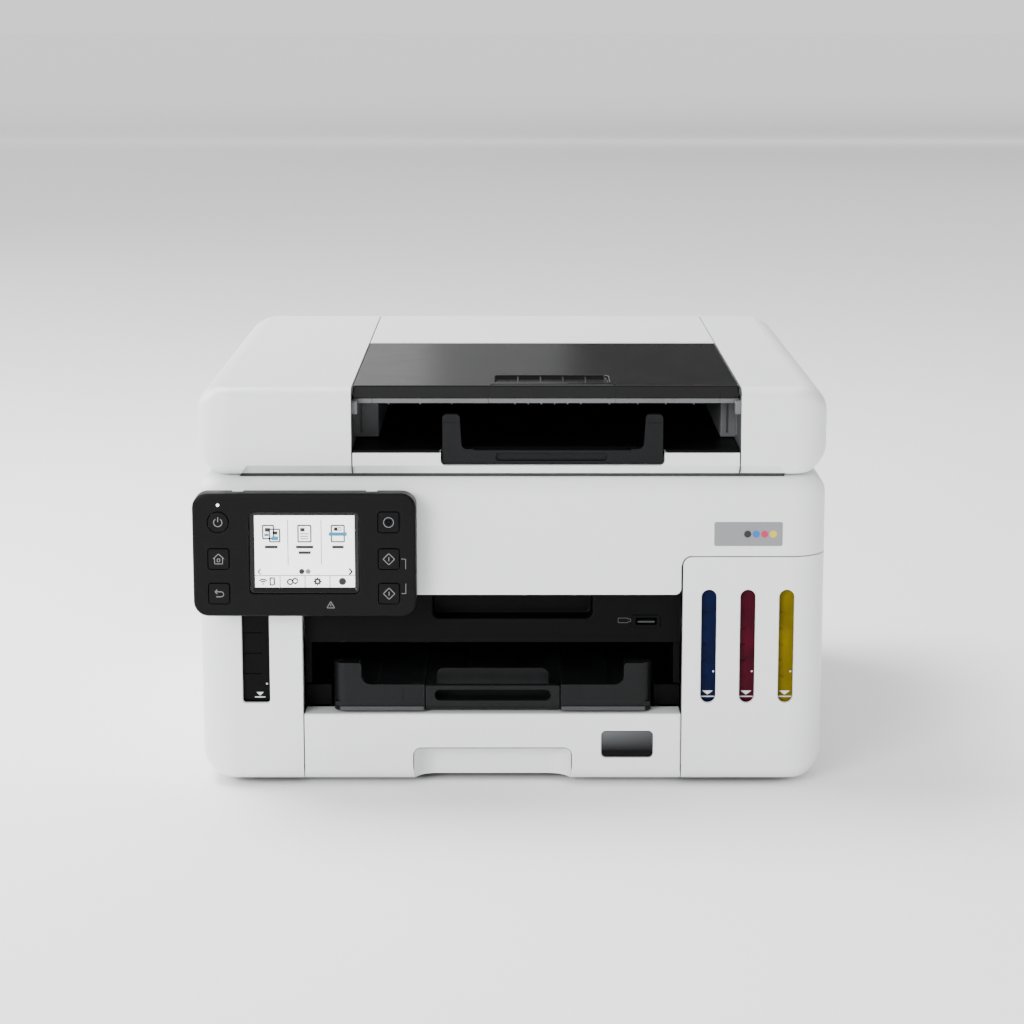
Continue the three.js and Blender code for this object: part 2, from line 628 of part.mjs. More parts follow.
function scannerHousing() {
  const shell = casingShell.intersect(
    box(-halfWidth - 1, halfWidth + 1, -1, casingDepth + 1, housingBottomZ, scannerTopZ + 1));
  const front = slabY(roundedRectangle(skirt.x0, skirt.x1, skirtBottomZ, seamZ + 20, 3), 0, wall, 3);
  const floor = casing.intersect(
    box(-halfWidth + 2, halfWidth - 2, 1, casingDepth - 1, housingBottomZ, housingBottomZ + 2.4));
  const { x0, x1, y0, y1 } = glassArea;
  const window = box(x0, x1, y0, y1, scannerTopZ - 5, scannerTopZ + 1);
  const ears = [leftFrameX, rightFrameX].flatMap((x) => [
    hingeEar(x - earPlay - earThickness, earThickness),
    hingeEar(x + frameThickness + earPlay, earThickness)]);
  const body = cut(join(shell, floor, front), window, hingeNotch(leftFrameX), hingeNotch(rightFrameX));
  const rib = box(feederCentre - 2, feederCentre + 2, 30, 384, housingBottomZ + 1, scanBar.z - 8.4);
  const pinTips = [leftFrameX, rightFrameX].map((x) =>
    rodX(hingePinRadius + bearingPlay, x - 8, x + frameThickness + 8, scannerAxis.y, scannerAxis.z));
  const unit = cut(join(body, rib, ...ears), ...pinTips);
  return join(unit, ...lidHinges.map(lidPost), ...panelLugX.map(panelLug));
}

piece(scanner, 'scanner_housing', scannerHousing(), whiteShell);
piece(scanner, 'platen_glass',
  box(glassArea.x0 + gap, glassArea.x1 - gap, glassArea.y0 + gap, glassArea.y1 - gap, scannerTopZ - wall,
    scannerTopZ - 0.3),
  glass);
piece(scanner, 'scan_bar',
  join(
    box(-scanBar.half, scanBar.half, -9, 9, -8, 8),
    box(-scanBar.half + 12, scanBar.half - 12, -3, 3, 7, 11)),
  blackShell, [feederCentre, scanBar.y, scanBar.z]);

// ---------------------------------------------------------------- control panel
const panel = subgroup(scanner);
const panelBox = { x0: -200, x1: -60, z0: 117, z1: 195.6, front: 0.4 - panelStandOut, back: -1.6 };
const panelSkin = 3;
const screen = { x0: -164.6, x1: -95.7, z0: 131.4, z1: 183.4 };
const buttonRows = { top: 177.3, middle: 153.9, bottom: 131.8 };
const leftButtonsX = -183.7;
const rightButtonsX = -77.1;
const powerRadius = 6.4;
const squareButton = 12.8;
const buttons = [
  { name: 'power_button', x: leftButtonsX, z: buttonRows.top, round: true },
  { name: 'home_button', x: leftButtonsX, z: buttonRows.middle },
  { name: 'back_button', x: leftButtonsX, z: buttonRows.bottom },
  { name: 'stop_button', x: rightButtonsX, z: buttonRows.top },
  { name: 'mono_start_button', x: rightButtonsX, z: buttonRows.middle },
  { name: 'colour_start_button', x: rightButtonsX, z: buttonRows.bottom },
];

function buttonForm(round, grow, y0, y1) {
  if (round) return rodY(powerRadius + grow, y0, y1, 0, 0, 24);
  const half = squareButton / 2 + grow;
  return slabY(roundedRectangle(-half, half, -half, half, 1.5 + grow), y0, y1, 2);
}

function panelHousing() {
  const { x0, x1, z0, z1, front, back } = panelBox;
  const body = slabY(roundedRectangle(x0, x1, z0, z1, 9.5), front, back);
  const shoulder = slabX(outline([[panelAxis.y, z1 + 1], [panelAxis.y, z1], [back + 1, z1 - 13],
    [back + 1, z1 + 1]]), x0 - 1, x1 + 1);
  const hollow = box(x0 + 3, x1 - 3, front + panelSkin, back + 1, z0 + 4, z1 - 12.2);
  const screenHole = slabY(roundedRectangle(screen.x0, screen.x1, screen.z0, screen.z1, 3), front - 1,
    front + panelSkin + 1, 3);
  const buttonHoles = buttons.map(({ x, z, round }) =>
    buttonForm(round, gap, front - 1, front + panelSkin + 1).translate(x, 0, z));
  const lugSlots = panelLugX.map((x) =>
    box(x - 3.6, x + 3.6, panelAxis.y - 4, back + 1, panelAxis.z - 5, z1 + 1));
  return cut(body, shoulder, hollow, screenHole, ...buttonHoles, ...lugSlots);
}

piece(panel, 'panel_housing', panelHousing(), blackShell);
piece(panel, 'touch_screen',
  slabY(roundedRectangle(screen.x0 + gap, screen.x1 - gap, screen.z0 + gap, screen.z1 - gap, 2.6),
    panelBox.front + 1.2, panelBox.front + panelSkin + 2, 3),
  screenFace);
for (const { name, x, z, round } of buttons) {
  piece(panel, name, buttonForm(round, 0, -0.4, panelSkin), blackShell, [x, panelBox.front, z]);
}

// ---------------------------------------------------------------- lid with the document feeder
const lid = subgroup(printer);
const lidForm = envelope(0, lidBottomZ, topZ, lidTopRadius);
const lidHollow = join(
  envelope(wall, lidBottomZ + wall, topZ - wall, lidTopRadius),
  underside(wall, lidBottomZ - 5, lidBottomZ + 20));
const lidShell = cut(lidForm, lidHollow);
const lidRoom = join(
  envelope(wall + gap, lidBottomZ + wall + gap, topZ - wall - gap, lidTopRadius),
  underside(wall + gap, lidBottomZ, lidBottomZ + 20));
const hingeRelief = (x) => join(
  rodX(12.4, x - lidPostHalf - 1, x + lidPostHalf + 1, lidAxis.y, lidAxis.z, 20),
  box(x - lidPostHalf - 1, x + lidPostHalf + 1, lidAxis.y - 6, casingDepth + 1, lidBottomZ - 1, lidAxis.z));
const liftGroove = slabX(outline([[-1, 202], [9, 202], [-1, 210.8]]), -170, 171.5);
const coverPinRadius = 1.2;
const documentFloorZ = 219.6;
const adfRoller = { y: 262, z: 246, radius: 8, shaft: 3 };

function lidSide(x0, x1, innerWallX, guideX) {
  const shell = lidShell.intersect(box(x0, x1, -1, casingDepth + 1, 0, topZ + 1));
  const innerWall = lidForm.intersect(
    box(innerWallX, innerWallX + wall, 0, casingDepth, lidBottomZ + 4 + gap, topZ - 0.5));
  const sideGuideBlock = box(guideX[0], guideX[1], 50, 229, documentFloorZ + gap, 246);
  const pinHole = (radius, { y, z }) =>
    rodX(radius + bearingPlay, innerWallX - 1, innerWallX + wall + 1, y, z, 12);
  const pinHoles = join(
    pinHole(coverPinRadius, documentTrayAxis),
    pinHole(coverPinRadius, feederCoverAxis),
    pinHole(adfRoller.shaft, adfRoller));
  return cut(join(shell, innerWall, sideGuideBlock), liftGroove, ...lidHinges.map(hingeRelief), pinHoles);
}

// Documents pass between these two faces, which are as far apart as the widest sheet
const documentGuideX = [-86, 134.5];
piece(lid, 'lid_left_cover',
  lidSide(-halfWidth - 1, feederLeft, feederLeft - wall, [feederLeft - 1, documentGuideX[0]]), whiteShell);
piece(lid, 'lid_right_cover',
  lidSide(feederRight, halfWidth + 1, feederRight, [documentGuideX[1], feederRight + 1]), whiteShell);

const frontBar = { topZ: 217.9, depth: 14 };
const stopperNotch = { x0: -44.9, x1: 96.2, z: 209.9 };
const padArea = { x0: feederCentre - 117, x1: feederCentre + 117, y0: 38, y1: 356 };
const lidSpan = [feederLeft + gap, feederRight - gap];
const lidEarThickness = 3;

function lidEar(x) {
  const profile = roundedRectangle(lidAxis.y - 20, lidAxis.y + 4.7, lidBottomZ + gap, lidAxis.z + 5, 4);
  const form = slabX(profile, x, x + lidEarThickness, 2);
  const pinHole = rodX(lidPinRadius + bearingPlay, x - 1, x + 4, lidAxis.y, lidAxis.z, 12);
  return cut(form.intersect(lidRoom), pinHole);
}

function lidBase() {
  const plug = underside(wall + gap, lidBottomZ + 0.2, lidBottomZ + 4);
  const middle = box(...lidSpan, 9, casingDepth - 4, lidBottomZ + 0.2, lidBottomZ + 4);
  const bar = lidForm.intersect(box(...lidSpan, 0, frontBar.depth, lidBottomZ, frontBar.topZ));
  const rearWall = lidForm.intersect(box(...lidSpan, casingDepth - 5, casingDepth, lidBottomZ, 245.4));
  const notch = box(stopperNotch.x0, stopperNotch.x1, -1, frontBar.depth + 1, stopperNotch.z, 230);
  const padPocket = box(padArea.x0 - gap, padArea.x1 + gap, padArea.y0 - gap, padArea.y1 + gap,
    lidBottomZ - 1, lidBottomZ + 1.8);
  const feedSlot = box(feederCentre - 110, feederCentre + 110, 361, 379, lidBottomZ - 1, lidBottomZ + 6);
  const earOffset = lidPostHalf + 1;
  const ears = lidHinges.flatMap((x) => [
    lidEar(x - earOffset - lidEarThickness), lidEar(x + earOffset)]);
  return cut(join(cut(join(plug, middle, bar, rearWall), ...lidHinges.map(hingeRelief)), ...ears),
    notch, padPocket, feedSlot, liftGroove);
}

piece(lid, 'lid_base', lidBase(), whiteShell);
piece(lid, 'document_pad',
  box(padArea.x0, padArea.x1, padArea.y0, padArea.y1, lidBottomZ - 1.2, lidBottomZ + 1.4), foam);

function documentFloor() {
  const front = frontBar.depth + 0.5;
  const lip = box(...lidSpan, 0.8, 20, frontBar.topZ + 0.3, documentFloorZ);
  const slope = outline([
    [front, 215], [232, 211], [232, 214.5], [72, documentFloorZ], [front, documentFloorZ]]);
  const floor = slabX(slope, ...lidSpan);
  const foot = (x) => box(x, x + 4, front, 230, lidBottomZ + 4.3, 215);
  const notch = box(stopperNotch.x0 - 1, stopperNotch.x1 + 1, -1, frontBar.depth + 1.5, 205, 230);
  return cut(join(lip, floor, foot(lidSpan[0]), foot(lidSpan[1] - 4)), notch);
}

piece(lid, 'document_floor', documentFloor(), blackShell);

// The block that documents turn round, between the feed path and the exit path
const turnProfile = outline([
  [236, 226], [352, 222], [366, 228], [366, 234], [352, 238], [262, 237], [236, 232]]);
piece(lid, 'document_guide', slabX(turnProfile, ...lidSpan), blackShell);
const adfDrums = [-55, 0, 55].map((x) => [feederCentre + x - 14, feederCentre + x + 14]);
piece(lid, 'document_roller',
  rollerShaft(adfRoller, feederLeft - 2, feederRight + 2, adfDrums, 0),
  rubber, [0, adfRoller.y, adfRoller.z]);

// Cover over the feeder, hinged at the rear
function feederCover() {
  const front = documentTrayAxis.y + 3.4;
  const roof = lidShell.intersect(box(...lidSpan, front, casingDepth + 1, 248, topZ + 1));
  const lip = box(...lidSpan, front, front + 2.5, 251.5, topZ - 1);
  const { y, z } = feederCoverAxis;
  const knuckle = rodX(3.2, ...lidSpan, y, z, 12);
  const pins = rodX(coverPinRadius, lidSpan[0] - wall + 0.2, lidSpan[1] + wall - 0.2, y, z, 12);
  return join(roof, lip, knuckle, pins);
}

piece(lid, 'feeder_cover', feederCover(), whiteShell);

// Smoked document tray, which lies closed over the exit and swings up to take documents
const documentTrayFront = 12.5;
const trayRim = 2.5;
const linerTopZ = 250.8;
const linerRear = 214;

function documentTray() {
  const [x0, x1] = lidSpan;
  const { y: axisY, z: axisZ } = documentTrayAxis;
  const skin = box(x0, x1, documentTrayFront, axisY, topZ - 3, topZ);
  const knuckle = rodX(topZ - axisZ, x0, x1, axisY, axisZ, 16);
  const rimPart = (from, to, rear) => box(from, to, documentTrayFront, rear, linerTopZ - 0.1, topZ - 2);
  const rim = join(
    rimPart(x0, x1, documentTrayFront + trayRim),
    rimPart(x0, x0 + trayRim, 218), rimPart(x1 - trayRim, x1, 218));
  const liner = box(x0, x1, documentTrayFront, linerRear, 247.8, linerTopZ);
  const stiffener = box(x0, x1, linerRear - 3, linerRear, linerTopZ - 0.8, topZ - 2);
  const ribs = Array.from({ length: 9 }, (_, i) => {
    const x = x0 + 22 + i * 25;
    return box(x - 0.8, x + 0.8, documentTrayFront + 1, linerRear - 4, 246.4, 248);
  });
  const pin = rodX(coverPinRadius, x0 - wall + 0.2, x1 + wall - 0.2, axisY, axisZ, 12);
  const grip = box(-10.6, 61.9, 27, 61, topZ - 1.5, topZ + 1);
  // The hollow between skin and liner drains through its rear wall
  const drain = box(x0 + 40, x0 + 60, linerRear - 9, linerRear + 6, linerTopZ + 1.2, topZ - 4);
  return cut(join(skin, knuckle, rim, liner, stiffener, ...ribs, pin), grip, drain);
}

piece(lid, 'document_tray', documentTray(), smokedPanel);

// Stop that catches the finished documents, pulled forwards out of the front edge
const stopper = { x0: -43.8, x1: 95.1, bottom: 210.6, barTop: 219.5, postTop: 241.9, postWidth: 11.4 };

function documentStopper() {
  const { x0, x1, bottom, barTop, postTop, postWidth: width } = stopper;
  const bar = box(x0, x1, 3, 6.5, bottom, barTop);
  const postProfile = outline([
    [x0, bottom], [x0 + width + 3, bottom], [x0 + width + 3, barTop], [x0 + width, barTop + 3],
    [x0 + width - 0.5, postTop - 1], [x0, postTop]]);
  const left = slabY(postProfile, 3, 12);
  const right = left.mirror([1, 0, 0]).translate(x0 + x1, 0, 0);
  const tongue = box(-15, 65, 5, 95, 211, 213.2);
  return join(bar, left, right, tongue);
}

piece(lid, 'document_stopper', documentStopper(), greyPlastic);

export default root;
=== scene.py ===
# %% [markdown]
# # An inkjet printer with ink tanks, a scanner and a document feeder
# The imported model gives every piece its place, its size and the body that it moves with. This
# script loads it as a fixed frame and makes the surfaces that are seen: moulded covers with soft
# corners, a glossy smoked tray, a lit touch screen and the ink behind its windows. Every size
# below is in millimetres, with x to the right, y to the rear from the casing's front face and z
# up from the table, because that is how a product drawing of a printer is dimensioned.

# %% Load the frame
import math

import bmesh
import bpy
from mathutils import Matrix, Vector


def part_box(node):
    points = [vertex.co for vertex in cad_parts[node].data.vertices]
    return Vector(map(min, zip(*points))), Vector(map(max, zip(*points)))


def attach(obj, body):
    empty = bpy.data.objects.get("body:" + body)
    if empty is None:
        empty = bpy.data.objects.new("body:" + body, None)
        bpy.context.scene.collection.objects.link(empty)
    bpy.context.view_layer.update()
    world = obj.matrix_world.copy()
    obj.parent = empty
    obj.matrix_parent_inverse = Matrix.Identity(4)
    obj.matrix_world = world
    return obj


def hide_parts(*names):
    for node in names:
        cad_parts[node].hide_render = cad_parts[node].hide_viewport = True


bpy.ops.wm.read_factory_settings(use_empty=True)
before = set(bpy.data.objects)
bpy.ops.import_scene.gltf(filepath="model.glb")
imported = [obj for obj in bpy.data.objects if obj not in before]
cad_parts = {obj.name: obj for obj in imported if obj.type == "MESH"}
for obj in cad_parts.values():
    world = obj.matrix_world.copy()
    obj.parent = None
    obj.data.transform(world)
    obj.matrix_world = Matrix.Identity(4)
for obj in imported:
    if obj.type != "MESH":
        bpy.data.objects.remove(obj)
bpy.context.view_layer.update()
front_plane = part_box("left_cover")[0].y

# %% [markdown]
# ## Measures taken from the frame
# A cover that is remade here must meet its neighbours, so the driving sizes are read from the
# frame's nodes. The sizes that only the finished surface has, such as edge radii, are named here.

# %% Driving sizes
MM = 0.001
WALL = 2.8          # thickness of a cover's wall
PLAN_RADIUS = 24    # corner radius of the casing, seen from above
GAP = 0.4           # clearance between a piece and its neighbour


def span(node):
    """A node's lowest and highest corners in millimetres, with y counted from the front face."""
    shift = Vector((0, front_plane, 0))
    low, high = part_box(node)
    return (low - shift) / MM, (high - shift) / MM


def centre_x(node):
    low, high = span(node)
    return (low.x + high.x) / 2


HALF_WIDTH = span("scanner_housing")[1].x
DEPTH = span("left_cover")[1].y
BOTTOM = span("left_cover")[0].z
SEAM = span("left_cover")[1].z + GAP
SCANNER_TOP = span("platen_glass")[1].z + 0.3
LID_BOTTOM = span("lid_left_cover")[0].z
TOP = span("lid_left_cover")[1].z
BAY_LEFT = span("left_cover")[1].x + GAP / 2
BAY_RIGHT = span("right_cover")[0].x - GAP / 2
FEEDER_LEFT = span("document_floor")[0].x - GAP
FEEDER_RIGHT = span("document_floor")[1].x + GAP
FEEDER_CENTRE = span("scan_bar")[0].x + 120
print(f"casing {2 * HALF_WIDTH:.1f} x {DEPTH:.1f} mm, seam at {SEAM:.1f}, lid {LID_BOTTOM:.1f} to {TOP:.1f}")

# %% [markdown]
# ## A small workshop of shapes
# Moulded parts are mostly rounded outlines pushed along one axis. `block` makes such a body with
# its end edges rounded over, and `hole` makes the matching tool: a pocket whose mouth is rounded,
# as the tool that moulds it is. Both are lofts of the same outline at growing insets, which keeps
# the corners concentric. A boolean then joins and cuts them, and `finish` bevels what is left
# sharp, keeps the flat faces flat with weighted normals and puts the piece on its body.

# %% Outlines and lofts
def arc(u, v, radius, start, end, steps):
    """Points on an arc round (u, v), with the angles in degrees."""
    angles = [math.radians(start + (end - start) * i / steps) for i in range(steps + 1)]
    return [(u + radius * math.cos(a), v + radius * math.sin(a)) for a in angles]


def rounded(u0, u1, v0, v1, radius, inset=0.0, steps=8):
    """A rounded rectangle; radius is one number or (lower, upper)."""
    lower, upper = radius if isinstance(radius, tuple) else (radius, radius)
    u0, u1, v0, v1 = u0 + inset, u1 - inset, v0 + inset, v1 - inset
    limit = min(u1 - u0, v1 - v0) / 2 - 0.002
    low, high = (min(max(r - inset, 0.02), limit) for r in (lower, upper))
    return (arc(u1 - low, v0 + low, low, -90, 0, steps) + arc(u1 - high, v1 - high, high, 0, 90, steps)
            + arc(u0 + high, v1 - high, high, 90, 180, steps) + arc(u0 + low, v0 + low, low, 180, 270, steps))


def along(axis, u, v, level):
    """A point of an outline that is pushed along an axis."""
    return {"X": (level, u, v), "Y": (u, level, v), "Z": (u, v, level)}[axis]


def body_from(mesh_builder, name="solid"):
    """An object in millimetres from a bmesh, with its faces turned outwards."""
    bmesh.ops.recalc_face_normals(mesh_builder, faces=mesh_builder.faces)
    mesh = bpy.data.meshes.new(name)
    mesh_builder.to_mesh(mesh)
    mesh_builder.free()
    made = bpy.data.objects.new(name, mesh)
    bpy.context.scene.collection.objects.link(made)
    return made


def loft(rings):
    """A closed body through rings of points that all have the same count."""
    builder = bmesh.new()
    rows = [[builder.verts.new(point) for point in points] for points in rings]
    count = len(rows[0])
    for low, high in zip(rows, rows[1:]):
        for i in range(count):
            j = (i + 1) % count
            builder.faces.new((low[i], low[j], high[j], high[i]))
    builder.faces.new(rows[0][::-1])
    builder.faces.new(rows[-1])
    return body_from(builder)


def quarter(radius, steps=5):
    """(inset, depth) pairs of a rounded-over edge, from the face to the side."""
    angles = [math.radians(90 * i / steps) for i in range(steps + 1)]
    return [(radius * (1 - math.sin(a)), radius * (1 - math.cos(a))) for a in angles]


def block(x, y, z, radius=1.0, edge=0.5, axis="Z", steps=8, edges=None):
    """A rounded box from x, y and z ranges; radius rounds the outline and edge its two end faces."""
    ranges = {"X": (y, z, x), "Y": (x, z, y), "Z": (x, y, z)}[axis]
    (u0, u1), (v0, v1), (low, high) = ranges
    first, last = edges or (edge, edge)
    sections = [(inset, low + depth) for inset, depth in quarter(max(first, 0.01))]
    sections += [(inset, high - depth) for inset, depth in reversed(quarter(max(last, 0.01)))]
    return loft([[along(axis, u, v, level) for u, v in rounded(u0, u1, v0, v1, radius, inset, steps)]
                 for inset, level in sections])


def block_over(low, high, *shape):
    """A rounded box from corner to corner, such as the corners that span gives."""
    return block(*zip(low, high), *shape)


def hole(u, v, mouth, bottom, radius=1.0, rim=0.6, axis="Y", steps=8, floor=0.0):
    """A cutting tool for a pocket: its mouth flares by rim, and its floor edge is rounded by floor."""
    way = 1 if bottom > mouth else -1
    turns = [math.radians(a) for a in (90, 67, 45, 22, 0)]
    flare = [(-rim * (1 - math.cos(a)), rim * (1 - math.sin(a))) for a in turns]
    sections = [(-rim, mouth - way)] + [(inset, mouth + way * depth) for inset, depth in flare]
    if floor:
        sections += [(inset, bottom - way * depth) for inset, depth in reversed(quarter(floor))]
    else:
        sections += [(0, bottom)]
    return loft([[along(axis, a, b, level) for a, b in rounded(*u, *v, radius, inset, steps)]
                 for inset, level in sections])


def prism(points, low, high, axis="Y"):
    """An outline pushed straight along an axis."""
    return loft([[along(axis, u, v, level) for u, v in points] for level in (low, high)])


def slab(x, y, z):
    """A sharp box, for cutting and trimming."""
    return prism([(x[0], z[0]), (x[1], z[0]), (x[1], z[1]), (x[0], z[1])], *y)


def rod(centre, radius, low, high, axis="X", edge=0.4, sides=40):
    """A round bar along an axis, with its ends rounded over."""
    u, v = centre
    sections = [(inset, low + depth) for inset, depth in quarter(edge, 3)]
    sections += [(inset, high - depth) for inset, depth in reversed(quarter(edge, 3))]
    turns = [2 * math.pi * i / sides for i in range(sides)]
    return loft([[along(axis, u + (radius - inset) * math.cos(a), v + (radius - inset) * math.sin(a), level)
                  for a in turns] for inset, level in sections])


# %% [markdown]
# ## Joining, cutting and finishing
# Boolean modifiers do the work of a milling machine here. They are evaluated at once and thrown
# away, so a finished piece is a plain mesh. A narrow bevel follows, because no moulded edge is
# perfectly sharp and only a bevelled edge catches a line of light.

# %% Booleans and finishing
def evaluated(made):
    """Replaces an object's mesh with the result of its modifiers."""
    bpy.context.view_layer.update()
    shown = made.evaluated_get(bpy.context.evaluated_depsgraph_get())
    mesh = bpy.data.meshes.new_from_object(shown)
    made.modifiers.clear()
    old = made.data
    made.data = mesh
    bpy.data.meshes.remove(old)
    return made


def combine(base, tools, operation):
    for tool in tools:
        step = base.modifiers.new(operation, "BOOLEAN")
        step.operation = operation
        step.solver = "EXACT"
        step.object = tool
    evaluated(base)
    for tool in tools:
        bpy.data.objects.remove(tool)
    return base


def join(base, *tools):
    return combine(base, tools, "UNION")


def cut(base, *tools):
    return combine(base, tools, "DIFFERENCE")


def common(base, *tools):
    return combine(base, tools, "INTERSECT")


def merged(parts):
    """Several separate solids kept in one mesh."""
    builder = bmesh.new()
    for part in parts:
        builder.from_mesh(part.data)
        bpy.data.objects.remove(part)
    return body_from(builder)


def finish(made, name, body, material, replaces=(), edge=0.0, smooth=35, segments=2):
    """Bevels, shades and names a piece, moves it into the frame and rides it on its body."""
    if edge:
        bevel = made.modifiers.new("edge", "BEVEL")
        bevel.width = edge
        bevel.segments = segments
        bevel.limit_method = "ANGLE"
        bevel.angle_limit = math.radians(38)
        bevel.miter_outer = "MITER_ARC"
        evaluated(made)
    mesh = made.data
    mesh.transform(Matrix.Translation((0, front_plane, 0)) @ Matrix.Scale(MM, 4))
    mesh.polygons.foreach_set("use_smooth", [True] * len(mesh.polygons))
    mesh.set_sharp_from_angle(angle=math.radians(smooth))
    normals = made.modifiers.new("normals", "WEIGHTED_NORMAL")
    normals.keep_sharp = True
    evaluated(made)
    made.name = name
    made.data.name = name
    made.data.materials.clear()
    made.data.materials.append(material)
    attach(made, body)
    if replaces:
        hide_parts(*replaces)
    print(f"{name}: {len(made.data.polygons)} faces on {body}")
    return made

# %% [markdown]
# ## Materials
# Almost everything here is injection-moulded ABS. The mould's surface is spark-eroded, which gives
# a satin face: soft, broad highlights and a fine grain. The grain's relief is a few hundredths of a
# millimetre, so it is drawn as bump, from noise whose size is set in millimetres. Colours are
# given as sRGB hex values, and one function turns them to the linear values that shaders use.

# %% Colour and node helpers
def linear(code, alpha=1.0):
    """An sRGB hex colour, such as "e4e5e6", as linear RGBA."""
    channels = [int(code[i:i + 2], 16) / 255 for i in (0, 2, 4)]
    return tuple(c / 12.92 if c <= 0.04045 else ((c + 0.055) / 1.055) ** 2.4 for c in channels) + (alpha,)


def add(material, kind, inputs=None, **settings):
    """Adds a node with its settings, values and links; a link is given as the socket it comes from."""
    made = material.node_tree.nodes.new(kind)
    for key, value in settings.items():
        setattr(made, key, value)
    for socket, value in (inputs or {}).items():
        enabled = [s for s in made.inputs if s.name == socket and s.enabled]
        target = enabled[0] if enabled else made.inputs[socket]
        if isinstance(value, bpy.types.NodeSocket):
            material.node_tree.links.new(value, target)
        else:
            target.default_value = value
    return made


def new_material(name):
    """An empty node material with an output, and its object coordinates in metres."""
    material = bpy.data.materials.new(name)
    material.use_nodes = True
    material.node_tree.nodes.clear()
    place = add(material, "ShaderNodeTexCoord").outputs["Object"]
    return material, place


def result(made, name="Result"):
    """The output in use: a node that handles several kinds of data has one socket for each."""
    return [s for s in made.outputs if s.name == name and s.enabled][0]


def surface(material, shader):
    add(material, "ShaderNodeOutputMaterial", {"Surface": shader.outputs[0]})
    return material


# %% [markdown]
# ### Moulded ABS and its relatives
# One function covers the moulded plastics, because they differ only in colour, gloss and grain:
# a slow noise varies the gloss, as release agent and handling do, and a fine one makes the grain.

# %% Moulded plastics
def moulded(name, code, shade, gloss, grain_mm, relief_mm, specular=0.5, coat=0.0):
    """Plastic from a mould. gloss is (lowest, highest) roughness; shade is the darker tone in its flow."""
    material, place = new_material(name)
    flow = add(material, "ShaderNodeTexNoise", {"Vector": place, "Scale": 1 / (90 * MM), "Detail": 2.0})
    tone = add(material, "ShaderNodeMix", {"Factor": flow.outputs["Fac"], "A": linear(code),
                                           "B": linear(shade)}, data_type="RGBA")
    handling = add(material, "ShaderNodeTexNoise", {"Vector": place, "Scale": 1 / (18 * MM), "Detail": 4.0})
    roughness = add(material, "ShaderNodeMapRange",
                    {"Value": handling.outputs["Fac"], "To Min": gloss[0], "To Max": gloss[1]})
    grain = add(material, "ShaderNodeTexNoise",
                {"Vector": place, "Scale": 1 / (grain_mm * MM), "Detail": 3.0, "Roughness": 0.6})
    relief = add(material, "ShaderNodeBump",
                 {"Height": grain.outputs["Fac"], "Distance": relief_mm * MM, "Strength": 0.5})
    shader = add(material, "ShaderNodeBsdfPrincipled",
                 {"Base Color": result(tone), "Roughness": result(roughness),
                  "Normal": relief.outputs["Normal"], "Specular IOR Level": specular,
                  "Coat Weight": coat, "Coat Roughness": 0.04})
    return surface(material, shader)


# The covers' satin white keeps highlights broad, so the curves read as soft. The blacks reflect
# little, so the bay looks deep. The tray and the screen are smoother, and mirror the room.
WHITE_ABS = moulded("satin_white_abs", "e4e5e6", "e0e1e2", (0.34, 0.42), 0.8, 0.02)
LINER_ABS = moulded("light_grey_abs", "58595b", "535456", (0.45, 0.52), 0.8, 0.02)
BLACK_ABS = moulded("spark_eroded_black_abs", "050506", "040405", (0.42, 0.55), 1.0, 0.04, 0.06)
CHARCOAL_ABS = moulded("charcoal_abs", "0f1011", "0c0d0e", (0.34, 0.42), 1.0, 0.03, 0.14)
PANEL_ABS = moulded("fine_texture_panel_abs", "070708", "060607", (0.36, 0.44), 1.0, 0.05, 0.1)
GREY_POM = moulded("grey_acetal", "2e3032", "292b2d", (0.3, 0.38), 0.6, 0.01, 0.4)
SMOKED_ABS = moulded("polished_smoked_abs", "0a0a0b", "070708", (0.17, 0.22), 1.6, 0.003, 0.2)
DARK_ACRYLIC = moulded("dark_tinted_acrylic", "0a0a0b", "070708", (0.08, 0.12), 2.0, 0.002, 0.25)
FOIL = moulded("silver_printed_label", "7f8183", "767879", (0.22, 0.3), 1.2, 0.01)
print("moulded plastics ready")

# %% [markdown]
# ### Metal, rubber, glass and foam
# The frames are zinc-plated sheet: a metal, so its colour is its reflection, with fine rolling
# marks along the sheet. The noise is stretched along y to draw them. Rubber rollers are ground, so
# they are matt with a coarse bloom, and the scanner's glass is plain float glass.

# %% Metal, rubber, glass and foam
def zinc_steel():
    """Zinc-plated sheet: a pale metal with a faint spangle and streaks that run with the rolling."""
    material, place = new_material("zinc_plated_steel")
    stretch = add(material, "ShaderNodeMapping", {"Vector": place, "Scale": (1.0, 0.04, 1.0)})
    lines = add(material, "ShaderNodeTexNoise",
                {"Vector": stretch.outputs["Vector"], "Scale": 1 / (0.8 * MM)})
    spangle = add(material, "ShaderNodeTexVoronoi", {"Vector": place, "Scale": 1 / (9 * MM)})
    roughness = add(material, "ShaderNodeMapRange",
                    {"Value": lines.outputs["Fac"], "To Min": 0.28, "To Max": 0.42})
    tone = add(material, "ShaderNodeMix", {"Factor": spangle.outputs["Distance"], "A": linear("aeb2b5"),
                                           "B": linear("9a9fa3")}, data_type="RGBA")
    relief = add(material, "ShaderNodeBump",
                 {"Height": lines.outputs["Fac"], "Distance": 0.01 * MM, "Strength": 0.4})
    shader = add(material, "ShaderNodeBsdfPrincipled",
                 {"Base Color": result(tone), "Metallic": 1.0, "Roughness": result(roughness),
                  "Normal": relief.outputs["Normal"]})
    return surface(material, shader)


